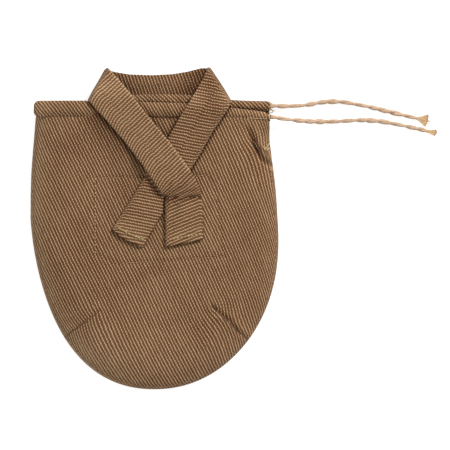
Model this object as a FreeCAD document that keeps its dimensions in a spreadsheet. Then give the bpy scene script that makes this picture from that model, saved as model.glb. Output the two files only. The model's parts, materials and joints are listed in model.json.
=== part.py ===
import FreeCAD, Part
import Sketcher
import math
import os

from FreeCAD import Placement, Rotation, Vector

# Drawstring treat pouch of ribbed twill, lying flat on its back panel.
# +X to the right, +Y from the rounded bottom to the mouth, +Z up from the surface it lies on.
# Origin: centre of the pouch's plan, on that surface.  Millimetres.

doc = FreeCAD.newDocument("TreatPouch")

# ---------------------------------------------------------------- driving sizes

SIZES = {
    # plan of the bag
    "half_width": 67.9,             # at the widest place
    "widest_y": 5.0,
    "bottom_y": -88.5,
    "mouth_half_width": 64.3,
    "mouth_y": 61.0,                # where the front panel ends under its casing
    "back_top_y": 64.3,             # where the back panel ends under its casing
    "roundness": 2.15,              # exponent of the rounded bottom
    "lean": 2.2,                    # the filled lower half sits this far to the right
    "panel_thickness": 0.8,
    # casings, the two channels that hold the drawstring
    "casing_wall": 0.4,
    "casing_height": 3.6,
    "casing_depth": 7.4,
    "casing_left_x": -66.0,
    "casing_right_x": 64.0,
    "lead_x": -58.0,                # where the front casing starts to climb
    "knee_left_x": -38.0,
    "knee_right_x": 38.0,
    "front_left_level": 6.1,
    "front_level": 9.25,
    "front_right_level": 5.2,
    "front_casing_top_y": 69.4,
    "front_casing_turn": -1.7,      # degrees about Z
    "back_level": 1.05,
    "back_casing_top_y": 71.1,
    "lip_depth": 1.6,
    "lip_height": 1.9,
    "turn_room_shift": 0.6,         # the passage between the casings sits this much lower
    # drawstring
    "twine_diameter": 2.6,
    "turn_x": -61.5,
    "knee_radius": 25.0,
    # collar strap
    "strap_thickness": 1.0,
    "left_lapel_level": 14.85,
    "left_lapel_pitch": 1.12,
    "right_lapel_level": 14.5,
    "right_lapel_pitch": 2.5,
    "left_tail_level": 11.4,
    "right_tail_level": 13.35,
    "right_tail_pitch": 4.0,
    "fold_height": 14.1,
    # patch sewn inside the front panel
    "patch_thickness": 0.6,
    # sewing thread
    "thread_width": 0.5,
    "thread_height": 0.25,
    "row_inset": 1.6,               # from a strap's edge to its stitching
    "row_trim": 1.0,                # a row stops this far short of its strap's end
    "seam_inset": 1.5,              # from the bag's rim to the stitching of its side seam
    "seam_width": 0.6,
    "slit_low_y": 47.0,             # the right side is open above here
    "front_row_depth": 6.5,         # from the front casing's top edge down to its stitching
    "band_second_row": 8.1,         # from the band's top edge down to its lower stitching
    "band_middle_gap": 0.3,
    "right_hem_inset": 3.9,
    "hidden_inner_row": 33.0,       # the right lapel's rows stop where it goes under the left one
    "hidden_outer_row": 32.0,
    "hidden_middle_row": 30.0,
}

# Plan corners, as (x, y).
CORNERS = {
    "left_shoulder_top": (-26.7, 88.5),
    "left_shoulder_low": (-36.0, 71.5),
    "right_shoulder_top": (29.4, 88.5),
    "right_shoulder_low": (42.0, 69.3),
    "band_top": (0.0, 84.7),
    "band_low": (0.0, 64.9),
    "left_fold_top": (-27.8, 88.4),
    "left_fold_low": (-37.0, 71.6),
    "right_fold_top": (30.6, 88.4),
    "right_fold_low": (41.8, 71.4),
    "right_fold_inner": (40.7, 71.4),
    "crease_left": (6.1, 16.5),
    "crease_right": (25.9, 17.3),
    "crease_bend": (25.6, 20.5),
    "cross_right": (19.6, 32.0),
    "cross_left": (-4.4, 29.2),
    "cross_low": (5.4, 16.3),
    "left_tail_a": (-5.2, 28.3),
    "left_tail_b": (4.5, 17.3),
    "left_tail_c": (3.8, 8.4),
    "left_tail_d": (-3.0, -5.5),
    "left_tail_e": (-4.7, -9.7),
    "left_tail_f": (-6.9, -10.1),
    "left_tail_g": (-16.8, -6.0),
    "left_tail_k": (-22.8, -0.8),
    "right_tail_a": (6.3, 15.9),
    "right_tail_b": (6.3, -10.1),
    "right_tail_c": (27.4, -6.5),
    "right_tail_d": (26.0, 16.7),
    "patch_a": (-32.0, 27.5),
    "patch_b": (30.0, 29.0),
    "patch_c": (34.0, 22.0),
    "patch_d": (38.5, -15.5),
    "patch_e": (-20.0, -19.3),
    "patch_f": (-32.0, -14.0),
}

PATCH_CORNERS = ["patch_a", "patch_b", "patch_c", "patch_d", "patch_e", "patch_f"]

# Straight seams and stitches in plan, from end to end.
DARTS = {
    "left_dart_stitching": [(-46.4, -57.8), (-30.0, -45.1)],
    "right_dart_stitching": [(50.4, -59.0), (32.2, -43.5)],
}
BAR_TACK = [
    [(62.8, 47.2), (60.4, 45.4)],
    [(60.0, 45.0), (58.2, 42.6)],
]

# Height of the front panel at each inset from its edge.
PILLOW = [(0.0, 0.8), (1.2, 3.5), (5.0, 7.0), (14.0, 9.9), (26.0, 10.9)]

# Routes of the two free ends, from the casings' right ends to the frayed tips.
FRONT_END = [
    (63.8, 61.2, 7.0),
    (76.5, 59.0, 4.2),
    (97.0, 58.4, 1.4),
    (118.0, 60.0, 1.4),
    (137.0, 56.6, 1.4),
    (155.4, 52.3, 1.4),
]
BACK_END = [
    (64.0, 67.4, 2.85),
    (78.5, 66.5, 1.9),
    (97.5, 70.6, 1.4),
    (116.5, 67.3, 1.4),
    (134.3, 62.8, 1.4),
    (151.5, 58.8, 1.4),
]
ARC_SHARE = 0.45                # how much of its shorter run a corner's arc may use

BLOCK = Vector(160, 80, 30)     # cutting blocks, larger than the whole bag
TALL = 20                       # a thread's blank, before it is cut to the cloth's skin

sheet = doc.addObject("Spreadsheet::Sheet", "Sizes")


def fill_sheet(cells):
    for row, (alias, number) in enumerate(cells, start=1):
        sheet.set(f"A{row}", alias)
        sheet.set(f"B{row}", str(number))
        sheet.setAlias(f"B{row}", alias)
    doc.recompute()


cells = list(SIZES.items())
for corner_name, (x, y) in CORNERS.items():
    cells.append((f"{corner_name}_x", x))
    cells.append((f"{corner_name}_y", y))
fill_sheet(cells)


def size(alias):
    return float(sheet.get(alias))


def value_of(terms):
    """The number that a sum of aliases stands for, such as 'front_level + casing_height'."""
    total = 0.0
    sign = 1
    for word in terms.split():
        if word in "+-":
            sign = -1 if word == "-" else 1
        else:
            total += sign * size(word)
            sign = 1
    return total


def expression_of(terms):
    """The same sum, written for the expression engine."""
    return " ".join(word if word in "+-" else f"Sizes.{word}" for word in terms.split())


def corner_terms(*names):
    return [(f"{name}_x", f"{name}_y") for name in names]


def corner(name):
    return Vector(size(f"{name}_x"), size(f"{name}_y"), 0)


# ---------------------------------------------------------------- helpers

parts = []


def new_body(label):
    body = doc.addObject("PartDesign::Body", label)
    body.Label = label
    parts.append(body)
    return body


def new_feature(label, shape, placement=Placement()):
    feature = doc.addObject("Part::Feature", label)
    feature.Label = label
    feature.Shape = shape
    feature.Placement = placement
    parts.append(feature)
    return feature


def add_polygon(body, name, role, vertices, offset=0.0):
    """A closed sketch whose corners are bound to the sheet."""
    plane = next(f for f in body.Origin.OriginFeatures if f.Role == role)
    sketch = body.newObject("Sketcher::SketchObject", name)
    sketch.AttachmentSupport = [(plane, "")]
    sketch.MapMode = "FlatFace"
    sketch.AttachmentOffset = Placement(Vector(0, 0, offset), Rotation())
    points = [Vector(value_of(a), value_of(b), 0) for a, b in vertices]
    for start, end in zip(points, points[1:] + points[:1]):
        sketch.addGeometry(Part.LineSegment(start, end))
    for index in range(len(points)):
        following = (index + 1) % len(points)
        sketch.addConstraint(Sketcher.Constraint("Coincident", index, 2, following, 1))
    for index, (point, terms) in enumerate(zip(points, vertices)):
        for kind, number, term in zip(("DistanceX", "DistanceY"), point, terms):
            which = sketch.addConstraint(Sketcher.Constraint(kind, index, 1, number))
            sketch.setExpression(f"Constraints[{which}]", expression_of(term))
    return sketch


def pad(body, sketch, name, length_terms):
    feature = body.newObject("PartDesign::Pad", name)
    feature.Profile = sketch
    feature.setExpression("Length", expression_of(length_terms))
    return feature


def plate(label, corners, thickness_terms):
    """A flat piece of cloth with the named plan corners."""
    body = new_body(label)
    sketch = add_polygon(body, f"{label}_outline", "XY_Plane", corner_terms(*corners))
    pad(body, sketch, f"{label}_pad", thickness_terms)
    return body


def strap_placement(pivot, far, level, pitch):
    """Lifts a strap piece to its level and lowers its far end by its pitch."""
    along = (far - pivot).normalize()
    across = Vector(-along.y, along.x, 0)
    return Placement(Vector(0, 0, level), Rotation(across, pitch), pivot)


def midpoint(first, second):
    return (first + second) * 0.5


def tube(wire, diameter):
    """A round section carried along a wire."""
    start = wire.Edges[0]
    first = start.FirstParameter
    section = Part.Wire(Part.makeCircle(diameter / 2, start.valueAt(first), start.tangentAt(first)))
    return wire.makePipeShell([section], True, False)


def rounded_wire(points, radius=None):
    """Straight runs joined by tangent arcs, each as large as its two runs allow."""
    points = [Vector(*p) for p in points]
    edges = []
    last = points[0]
    for before, here, after in zip(points, points[1:], points[2:]):
        back = before - here
        ahead = after - here
        shorter = min(back.Length, ahead.Length)
        back.normalize()
        ahead.normalize()
        half_turn = (math.pi - back.getAngle(ahead)) / 2
        arc_radius = radius or ARC_SHARE * shorter / math.tan(half_turn)
        reach = arc_radius * math.tan(half_turn)
        middle = (back + ahead).normalize() * arc_radius * (1 / math.cos(half_turn) - 1)
        start = here + back * reach
        end = here + ahead * reach
        edges.append(Part.LineSegment(last, start).toShape())
        edges.append(Part.Arc(start, here + middle, end).toShape())
        last = end
    edges.append(Part.LineSegment(last, points[-1]).toShape())
    return Part.Wire(edges)


def row_between(start, end, base, height):
    """A straight row of sewing thread lying on a plane at height base."""
    along = (end - start).normalize()
    side = Vector(-along.y, along.x, 0) * (size("thread_width") / 2)
    ring = [start + side, end + side, end - side, start - side, start + side]
    face = Part.Face(Part.makePolygon([p + Vector(0, 0, base) for p in ring]))
    return face.extrude(Vector(0, 0, height))


def thread_rows(rows, base=0.0):
    """A group of straight thread rows."""
    return Part.makeCompound(
        [row_between(start, end, base, size("thread_height")) for start, end in rows]
    )


def inset_row(start, end, inset, trim_start=0.0, trim_end=0.0):
    """The row beside an edge, at the inset to its left, shortened at either end."""
    along = (end - start).normalize()
    side = Vector(-along.y, along.x, 0) * inset
    return start + side + along * trim_start, end + side - along * trim_end


# ---------------------------------------------------------------- the bag's panels

front_casing_placement = Placement(
    Vector(0, size("front_casing_top_y"), 0),
    Rotation(Vector(0, 0, 1), size("front_casing_turn")),
    Vector(size("casing_left_x"), 0, 0),
)
back_casing_placement = Placement(Vector(0, size("back_casing_top_y"), 0), Rotation())


def outline_points(inset, steps=12):
    """Plan of the bag from the top left, round the bottom and up to the top right."""
    scale = 1 - inset / size("half_width")
    centre_y = size("widest_y")
    drop = centre_y - size("bottom_y")
    rise = size("mouth_y") - centre_y
    narrowing = size("half_width") - size("mouth_half_width")
    half = []
    for step in range(steps + 1):
        angle = math.pi / 2 * step / steps
        x = size("half_width") * math.sin(angle) ** (2 / size("roundness"))
        depth = math.cos(angle) ** (2 / size("roundness"))
        half.append((x, depth))
    left = [(-x, depth) for x, depth in reversed(half)]
    right = half[1:]
    lower = []
    for x, depth in left + right:
        shifted = x + size("lean") * math.sin(math.pi * depth)
        lower.append(Vector(shifted * scale, centre_y - drop * depth * scale, 0))
    upper = []
    for share in (0.5, 1.0, 1.6):
        width = size("half_width") - narrowing * share ** 2
        upper.append(Vector(width * scale, centre_y + rise * share, 0))
    mirrored = [Vector(-p.x, p.y, 0) for p in reversed(upper)]
    return mirrored + lower + upper


def outline_wire(inset, level):
    curve = Part.BSplineCurve()
    points = outline_points(inset)
    curve.interpolate(points)
    closing = Part.LineSegment(points[-1], points[0])
    wire = Part.Wire([curve.toShape(), closing.toShape()])
    wire.translate(Vector(0, 0, level))
    return wire


def pillow(grow):
    """The front panel's outer form, grown outwards by a distance."""
    wires = [outline_wire(inset - grow, level + grow) for inset, level in PILLOW]
    return Part.makeLoft(wires, True, True)


def beyond(y, low=-1.0, left=-80.0):
    """A block that covers everything past y."""
    return Part.makeBox(BLOCK.x, BLOCK.y, BLOCK.z, Vector(left, y, low))


def past_front_casing():
    """Everything from the front casing's lower edge towards the mouth."""
    block = beyond(-size("casing_depth"))
    block.Placement = front_casing_placement
    return block


def front_panel():
    thickness = size("panel_thickness")
    shell = pillow(0).cut(pillow(-thickness)).cut(past_front_casing())
    new_feature("front_panel", shell)


def back_panel():
    thickness = size("panel_thickness")
    disc = Part.Face(outline_wire(0, 0)).extrude(Vector(0, 0, thickness))
    new_feature("back_panel", disc.cut(beyond(size("back_top_y"))))


def inner_patch():
    body = plate("inner_patch", PATCH_CORNERS, "patch_thickness")
    inner_face = PILLOW[-1][1] - size("panel_thickness")
    body.Placement = Placement(Vector(0, 0, inner_face - size("patch_thickness")), Rotation())


# ---------------------------------------------------------------- casings

FRONT_PROFILE = [
    ("casing_left_x", "front_left_level"),
    ("lead_x", "front_left_level"),
    ("knee_left_x", "front_level"),
    ("knee_right_x", "front_level"),
    ("casing_right_x", "front_right_level"),
]
BACK_PROFILE = [("casing_left_x", "back_level"), ("casing_right_x", "back_level")]


def strip_profile(base, low_terms, high_terms):
    """The outline of a strip that follows a profile between two heights above it."""
    lower = [(x, f"{z} {low_terms}".strip()) for x, z in base]
    upper = [(x, f"{z} {high_terms}") for x, z in reversed(base)]
    return lower + upper


def casing(label, base, placement):
    """A flattened channel: a strip with a passage for the twine."""
    wall = size("casing_wall")
    body = new_body(label)
    outline = strip_profile(base, "", "+ casing_height")
    outer = add_polygon(body, f"{label}_outer", "XZ_Plane", outline)
    pad(body, outer, f"{label}_pad", "casing_depth")
    inner_base = [(base[0][0] + " + casing_wall", base[0][1])] + base[1:]
    inner = add_polygon(
        body,
        f"{label}_channel",
        "XZ_Plane",
        strip_profile(inner_base, "+ casing_wall", "+ casing_height - casing_wall"),
        offset=2 * wall,
    )
    doc.recompute()
    solid_volume = body.Shape.Volume
    channel = body.newObject("PartDesign::Pocket", f"{label}_pocket")
    channel.Profile = inner
    channel.Reversed = True
    channel.setExpression("Length", "Sizes.casing_depth - 4 * Sizes.casing_wall")
    body.Tip = channel
    body.Placement = placement
    doc.recompute()
    if body.Shape.Volume > 0.8 * solid_volume:
        raise ValueError(f"{label}: the channel is not cut")
    return body


def front_casing_point(x, level):
    """A point on the middle of the front casing's channel."""
    local = Vector(x, -size("casing_depth") / 2, level + size("casing_height") / 2)
    return front_casing_placement.multVec(local)


def back_casing_point(x):
    middle = size("back_level") + size("casing_height") / 2
    return Vector(x, size("back_casing_top_y") - size("casing_depth") / 2, middle)


def turn_room():
    """The space at the left ends where the twine passes from one casing to the other."""
    wall = size("casing_wall")
    left = size("casing_left_x") + wall
    low = back_casing_point(0).z - size("twine_diameter") / 2
    high = front_casing_point(left, size("front_left_level")).z
    depth = size("casing_depth") - 4 * wall
    middle = back_casing_point(0).y - size("turn_room_shift")
    corner_low = Vector(left, middle - depth / 2, low)
    return Part.makeBox(size("turn_x") - left, depth, high - low, corner_low)


def casings():
    front = casing("front_casing_tube", FRONT_PROFILE, front_casing_placement)
    back = casing("back_casing_tube", BACK_PROFILE, back_casing_placement)
    lip = doc.addObject("Part::Box", "back_casing_lip")
    lip.setExpression("Length", "Sizes.casing_right_x - Sizes.casing_left_x")
    lip.setExpression("Width", "Sizes.lip_depth")
    lip.setExpression("Height", "Sizes.lip_height")
    lip_y = size("back_top_y") - size("lip_depth")
    lip.Placement = Placement(
        Vector(size("casing_left_x"), lip_y, size("panel_thickness")), Rotation()
    )
    doc.recompute()
    parts.remove(front)
    parts.remove(back)
    room = turn_room()
    new_feature("front_casing", front.Shape.cut(room))
    new_feature("back_casing", back.Shape.cut(room).fuse(lip.Shape).removeSplitter())


# ---------------------------------------------------------------- drawstring

def drawstring():
    diameter = size("twine_diameter")
    turn_x = size("turn_x")
    back_left = back_casing_point(turn_x)
    back_right = back_casing_point(size("casing_right_x"))
    back_wire = Part.Wire(Part.LineSegment(back_left, back_right).toShape())
    new_feature("drawstring_back_run", tube(back_wire, diameter))

    stations = [(turn_x, "front_left_level")]
    stations += [(size(x), level) for x, level in FRONT_PROFILE[1:]]
    route = [front_casing_point(x, size(level)) for x, level in stations]
    route[-1] = Vector(*FRONT_END[0])
    front_wire = rounded_wire(route, size("knee_radius"))
    new_feature("drawstring_front_run", tube(front_wire, diameter))

    front_left = route[0]
    reach = (front_left - back_left).Length / 2
    outermost = midpoint(front_left, back_left) - Vector(reach, 0, 0)
    turn_wire = Part.Wire(Part.Arc(back_left, outermost, front_left).toShape())
    new_feature("drawstring_turn", tube(turn_wire, diameter))

    for label, points in (("drawstring_front_end", FRONT_END), ("drawstring_back_end", BACK_END)):
        wire = rounded_wire(points)
        new_feature(label, tube(wire, diameter))
        print(label, "length", round(wire.Length, 1))


# ---------------------------------------------------------------- collar strap

def lapel(label, corners, fold, placement):
    """A strap length that comes over the shoulder in an upright fold."""
    body = plate(label, corners, "strap_thickness")
    wall = add_polygon(body, f"{label}_fold", "XY_Plane", corner_terms(*fold))
    upright = pad(body, wall, f"{label}_fold_pad", "fold_height")
    upright.Reversed = True
    body.Placement = placement


left_pivot = midpoint(corner("left_shoulder_top"), corner("left_shoulder_low"))
right_pivot = midpoint(corner("right_shoulder_top"), corner("right_shoulder_low"))
left_far = midpoint(corner("crease_left"), corner("cross_right"))
right_far = midpoint(corner("cross_left"), corner("cross_low"))
left_lapel_placement = strap_placement(
    left_pivot, left_far, size("left_lapel_level"), size("left_lapel_pitch")
)
right_lapel_placement = strap_placement(
    right_pivot, right_far, size("right_lapel_level"), size("right_lapel_pitch")
)
left_tail_placement = Placement(Vector(0, 0, size("left_tail_level")), Rotation())
right_tail_placement = strap_placement(
    midpoint(corner("right_tail_a"), corner("right_tail_d")),
    midpoint(corner("right_tail_b"), corner("right_tail_c")),
    size("right_tail_level"),
    size("right_tail_pitch"),
)


def collar():
    band = [
        "left_shoulder_top", "left_shoulder_low", "band_low",
        "right_shoulder_low", "right_shoulder_top", "band_top",
    ]
    plate("collar_back_band", band, "strap_thickness")
    lapel(
        "left_lapel",
        ["left_fold_top", "left_fold_low", "crease_left",
         "crease_right", "crease_bend", "cross_right"],
        ["left_shoulder_top", "left_fold_top", "left_fold_low", "left_shoulder_low"],
        left_lapel_placement,
    )
    lapel(
        "right_lapel",
        ["right_fold_top", "right_shoulder_top", "cross_left", "cross_low", "right_fold_low"],
        ["right_shoulder_top", "right_fold_inner", "right_fold_low", "right_fold_top"],
        right_lapel_placement,
    )
    left_tail = plate("left_tail", [f"left_tail_{c}" for c in "abcdefgk"], "strap_thickness")
    left_tail.Placement = left_tail_placement
    right_tail = plate("right_tail", [f"right_tail_{c}" for c in "abcd"], "strap_thickness")
    right_tail.Placement = right_tail_placement


# ---------------------------------------------------------------- stitching

def row_on_skin(ends):
    """A thread row that lies on the front panel's outer form."""
    start, end = (Vector(x, y, 0) for x, y in ends)
    skin = pillow(size("thread_height")).cut(pillow(0))
    return row_between(start, end, 0, TALL).common(skin)


def panel_stitching():
    inset = size("seam_inset")
    outer = Part.Face(outline_wire(inset, 0))
    seam = outer.cut(Part.Face(outline_wire(inset + size("seam_width"), 0)))
    ring = seam.extrude(Vector(0, 0, size("thread_height")))
    ring.translate(Vector(0, 0, size("panel_thickness")))
    ring = ring.cut(beyond(size("mouth_y"))).cut(beyond(size("slit_low_y"), left=0.0))
    new_feature("side_seam_stitching", ring)

    for label, ends in DARTS.items():
        new_feature(label, row_on_skin(ends))
    new_feature("slit_bar_tack", Part.makeCompound([row_on_skin(ends) for ends in BAR_TACK]))

    inset = size("row_inset")
    corners = [corner(name) for name in PATCH_CORNERS]
    rows = [
        inset_row(end, start, inset, inset, inset)
        for start, end in zip(corners, corners[1:] + corners[:1])
    ]
    new_feature("patch_stitching", thread_rows(rows, PILLOW[-1][1]))


def casing_stitching():
    front = new_body("front_casing_stitching")
    profile = strip_profile(FRONT_PROFILE, "+ casing_height", "+ casing_height + thread_height")
    depth = size("front_row_depth")
    sketch = add_polygon(front, "front_stitch_profile", "XZ_Plane", profile, offset=depth)
    pad(front, sketch, "front_stitch_pad", "thread_width")
    front.Placement = front_casing_placement

    lip_top = size("panel_thickness") + size("lip_height")
    lip_y = size("back_top_y") - size("lip_depth") / 2 - size("thread_width") / 2
    ends = Vector(size("casing_left_x"), lip_y, 0), Vector(size("casing_right_x"), lip_y, 0)
    new_feature("back_casing_stitching", thread_rows([ends], lip_top))


def band_stitching():
    left, middle, right = (
        corner(name) for name in ("left_shoulder_top", "band_top", "right_shoulder_top")
    )
    trim = Vector(size("row_trim"), 0, 0)
    gap = Vector(size("band_middle_gap"), 0, 0)
    rows = []
    for drop in (size("row_inset"), size("band_second_row")):
        shift = Vector(0, -drop, 0)
        rows.append((left + shift + trim, middle + shift - gap))
        rows.append((middle + shift + gap, right + shift - trim))
    new_feature("collar_band_stitching", thread_rows(rows, size("strap_thickness")))


def lapel_stitching():
    strap = size("strap_thickness")
    inset = size("row_inset")
    trim = size("row_trim")

    low, top = corner("left_shoulder_low"), corner("left_shoulder_top")
    rows = [
        inset_row(low, corner("crease_left"), inset, trim, 1.5 * trim),
        inset_row(corner("cross_right"), top, inset, trim, trim),
        inset_row(midpoint(low, top), left_far, 0, 2 * trim, 3 * trim),
    ]
    new_feature("left_lapel_stitching", thread_rows(rows, strap), left_lapel_placement)

    low, top = corner("right_shoulder_low"), corner("right_shoulder_top")
    rows = [
        inset_row(top, corner("cross_left"), inset, trim, size("hidden_inner_row")),
        inset_row(corner("cross_low"), low, inset, size("hidden_outer_row"), trim),
        inset_row(midpoint(low, top), right_far, 0, 2 * trim, size("hidden_middle_row")),
    ]
    new_feature("right_lapel_stitching", thread_rows(rows, strap), right_lapel_placement)


def tail_stitching():
    strap = size("strap_thickness")
    trim = size("row_trim")
    start, end = corner("left_tail_k"), corner("left_tail_f")
    hem = inset_row(start, end, size("row_inset"), 1.5 * trim, 1.5 * trim)
    new_feature("left_tail_stitching", thread_rows([hem], strap), left_tail_placement)
    start, end = corner("right_tail_b"), corner("right_tail_c")
    hem = inset_row(start, end, size("right_hem_inset"), trim, trim)
    new_feature("right_tail_stitching", thread_rows([hem], strap), right_tail_placement)


# ---------------------------------------------------------------- build and write

front_panel()
back_panel()
inner_patch()
casings()
drawstring()
collar()
panel_stitching()
casing_stitching()
band_stitching()
lapel_stitching()
tail_stitching()
doc.recompute()

for item in doc.Objects:
    if {"Invalid", "Error"} & set(item.State):
        raise ValueError(f"{item.Label} failed: {item.State}")
os.makedirs("parts", exist_ok=True)
for part in parts:
    if part.Shape.isNull() or not part.Shape.isValid():
        raise ValueError(f"{part.Label} has no valid shape")
    solids = len(part.Shape.Solids)
    box = part.Shape.BoundBox
    print(part.Label, "solids", solids, "volume", round(part.Shape.Volume, 1), "box", box)
    part.Shape.exportStep(f"parts/{part.Label}.step")
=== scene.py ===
import json
import math

import bpy
import numpy as np
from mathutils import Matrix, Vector
from mathutils.geometry import delaunay_2d_cdt


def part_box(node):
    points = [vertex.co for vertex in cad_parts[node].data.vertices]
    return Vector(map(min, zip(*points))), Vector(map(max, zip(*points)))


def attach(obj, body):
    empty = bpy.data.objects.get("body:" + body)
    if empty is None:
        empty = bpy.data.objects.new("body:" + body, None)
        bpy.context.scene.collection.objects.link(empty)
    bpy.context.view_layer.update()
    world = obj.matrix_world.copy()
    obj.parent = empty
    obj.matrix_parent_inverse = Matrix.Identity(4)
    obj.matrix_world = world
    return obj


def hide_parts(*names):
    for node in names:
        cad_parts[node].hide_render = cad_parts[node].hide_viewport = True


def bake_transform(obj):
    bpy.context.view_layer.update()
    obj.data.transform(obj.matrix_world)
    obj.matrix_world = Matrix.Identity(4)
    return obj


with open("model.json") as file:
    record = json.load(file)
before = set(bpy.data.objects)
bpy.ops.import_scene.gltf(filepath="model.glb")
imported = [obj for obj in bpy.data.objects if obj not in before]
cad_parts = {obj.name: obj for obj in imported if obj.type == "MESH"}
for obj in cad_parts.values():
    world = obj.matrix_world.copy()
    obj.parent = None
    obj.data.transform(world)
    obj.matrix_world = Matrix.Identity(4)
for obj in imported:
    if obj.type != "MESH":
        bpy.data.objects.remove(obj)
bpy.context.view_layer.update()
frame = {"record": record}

# Ribbed twill treat pouch, seen from straight above, lying on its back panel.
# Lengths are millimetres in the frame's own axes until a mesh is made; MM turns them into metres.
MM = 0.001

back_low = np.array(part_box("back_panel")[0]) / MM
panel_high = np.array(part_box("front_panel")[1]) / MM

RIM_TUCK = 0.15                 # how far the seam lies inside the back panel's box
HALF_WIDTH = -back_low[0] - RIM_TUCK
WIDEST_Y = 5.0
BOTTOM_Y = back_low[1]
CROWN = panel_high[2]
CLOTH = 0.6                     # thickness of one ply of twill
RIB = 1.68                      # from one rib to the next
STRAP = 1.7                     # thickness of the strap, a flattened tube of twill
STITCH = 2.6                    # from one stitch to the next

# -------- node helpers

scene = bpy.context.scene


def set_inputs(made, values):
    """Sets a node's sockets by name, with _ for a space."""
    for name, value in values.items():
        made.inputs[name.replace("_", " ")].default_value = value
    return made


def node(tree, kind, **inputs):
    return set_inputs(tree.nodes.new(kind), inputs)


def new_material(name, **shader_inputs):
    material = bpy.data.materials.new(name)
    material.use_nodes = True
    shader = material.node_tree.nodes["Principled BSDF"]
    return material, material.node_tree, set_inputs(shader, shader_inputs)


def math_node(tree, operation, *values):
    made = tree.nodes.new("ShaderNodeMath")
    made.operation = operation
    for socket, value in zip(made.inputs, values):
        if isinstance(value, (int, float)):
            socket.default_value = value
        else:
            tree.links.new(value, socket)
    return made.outputs[0]


def noise(tree, vector, **inputs):
    made = node(tree, "ShaderNodeTexNoise", **inputs)
    tree.links.new(vector, made.inputs["Vector"])
    return made.outputs["Fac"]


def attribute_vector(tree, name):
    made = tree.nodes.new("ShaderNodeAttribute")
    made.attribute_name = name
    return made.outputs["Vector"]


def srgb(red, green, blue):
    """A colour given as 0 to 255 display values, as linear RGBA."""
    values = np.array([red, green, blue]) / 255
    linear = np.where(values <= 0.04045, values / 12.92, ((values + 0.055) / 1.055) ** 2.4)
    return (*linear, 1.0)


def colour_by(tree, shader, factor, stops):
    """The shader's colour, from a factor, through stops of a place and a display colour."""
    made = tree.nodes.new("ShaderNodeValToRGB")
    elements = made.color_ramp.elements
    while len(elements) < len(stops):
        elements.new(0.5)
    for element, (place, colour) in zip(elements, stops):
        element.position = place
        element.color = srgb(*colour)
    tree.links.new(factor, made.inputs["Fac"])
    tree.links.new(made.outputs["Color"], shader.inputs["Base Color"])


def add_bump(tree, shader, height, strength, distance):
    bump = node(tree, "ShaderNodeBump", Strength=strength, Distance=distance)
    tree.links.new(height, bump.inputs["Height"])
    tree.links.new(bump.outputs["Normal"], shader.inputs["Normal"])


# -------- camera, light and floor

VIEW_CENTRE = (39.0, 1.8)
VIEW_WIDTH = 247.5
VIEW_HEIGHT = 1800.0
SENSOR_WIDTH = 36
SKY_COLOUR = (1.0, 0.985, 0.965, 1)
SKY_STRENGTH = 0.42
FLOOR_REACH = 6.0               # metres


def add_camera():
    camera = bpy.data.objects.new("camera", bpy.data.cameras.new("camera"))
    scene.collection.objects.link(camera)
    camera.data.sensor_width = SENSOR_WIDTH
    camera.data.lens = SENSOR_WIDTH * VIEW_HEIGHT / VIEW_WIDTH
    camera.data.clip_start = 0.05
    camera.data.clip_end = 20
    camera.location = (VIEW_CENTRE[0] * MM, VIEW_CENTRE[1] * MM, VIEW_HEIGHT * MM)
    scene.camera = camera
    scene.view_settings.view_transform = "Standard"


def add_sky():
    world = bpy.data.worlds.new("soft_sky")
    world.use_nodes = True
    sky = world.node_tree.nodes["Background"]
    set_inputs(sky, {"Color": SKY_COLOUR, "Strength": SKY_STRENGTH})
    scene.world = world


def area_light(name, place, size, power):
    """A square lamp that faces the middle of the pouch."""
    data = bpy.data.lights.new(name, "AREA")
    data.size = size
    data.energy = power
    lamp = bpy.data.objects.new(name, data)
    lamp.location = place
    lamp.rotation_mode = "QUATERNION"
    lamp.rotation_quaternion = (-Vector(place)).to_track_quat("-Z", "Y")
    scene.collection.objects.link(lamp)


def add_floor():
    material, tree, shader = new_material(
        "pale_floor", Roughness=0.9, Base_Color=(0.42, 0.42, 0.42, 1),
        Emission_Color=(1, 1, 1, 1), Emission_Strength=0.8)
    grain = node(tree, "ShaderNodeTexNoise", Scale=900)
    add_bump(tree, shader, grain.outputs["Fac"], 1.0, 0.00002)
    mesh = bpy.data.meshes.new("floor")
    corners = [(x * FLOOR_REACH, y * FLOOR_REACH, 0) for x, y in ((-1, -1), (1, -1), (1, 1), (-1, 1))]
    mesh.from_pydata(corners, [], [(0, 1, 2, 3)])
    mesh.materials.append(material)
    plane = bpy.data.objects.new("floor", mesh)
    scene.collection.objects.link(plane)


add_camera()
add_sky()
area_light("key_light", (1.6, 1.7, 1.7), 0.56, 80.0)
area_light("fill_light", (-0.9, -0.4, 1.3), 1.2, 4.0)
add_floor()

# -------- materials

BEAD_PITCH = 1.45               # from one turn of a rib's yarn to the next
RIB_WANDER = 0.8                # how far a rib strays to and fro
RIB_SHARPNESS = 1.9             # above 1, the ribs are narrower than the grooves
TONE_LOW, TONE_HIGH = -0.6, 1.0
# the colours below 0.375, for tones under 0, are reached only where painted shade darkens the cloth
TWILL_COLOURS = [
    (0.0, (40, 25, 16)),
    (0.375, (95, 61, 36)),
    (0.531, (112, 77, 49)),
    (0.75, (141, 109, 79)),
    (1.0, (187, 159, 125)),
]


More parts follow.
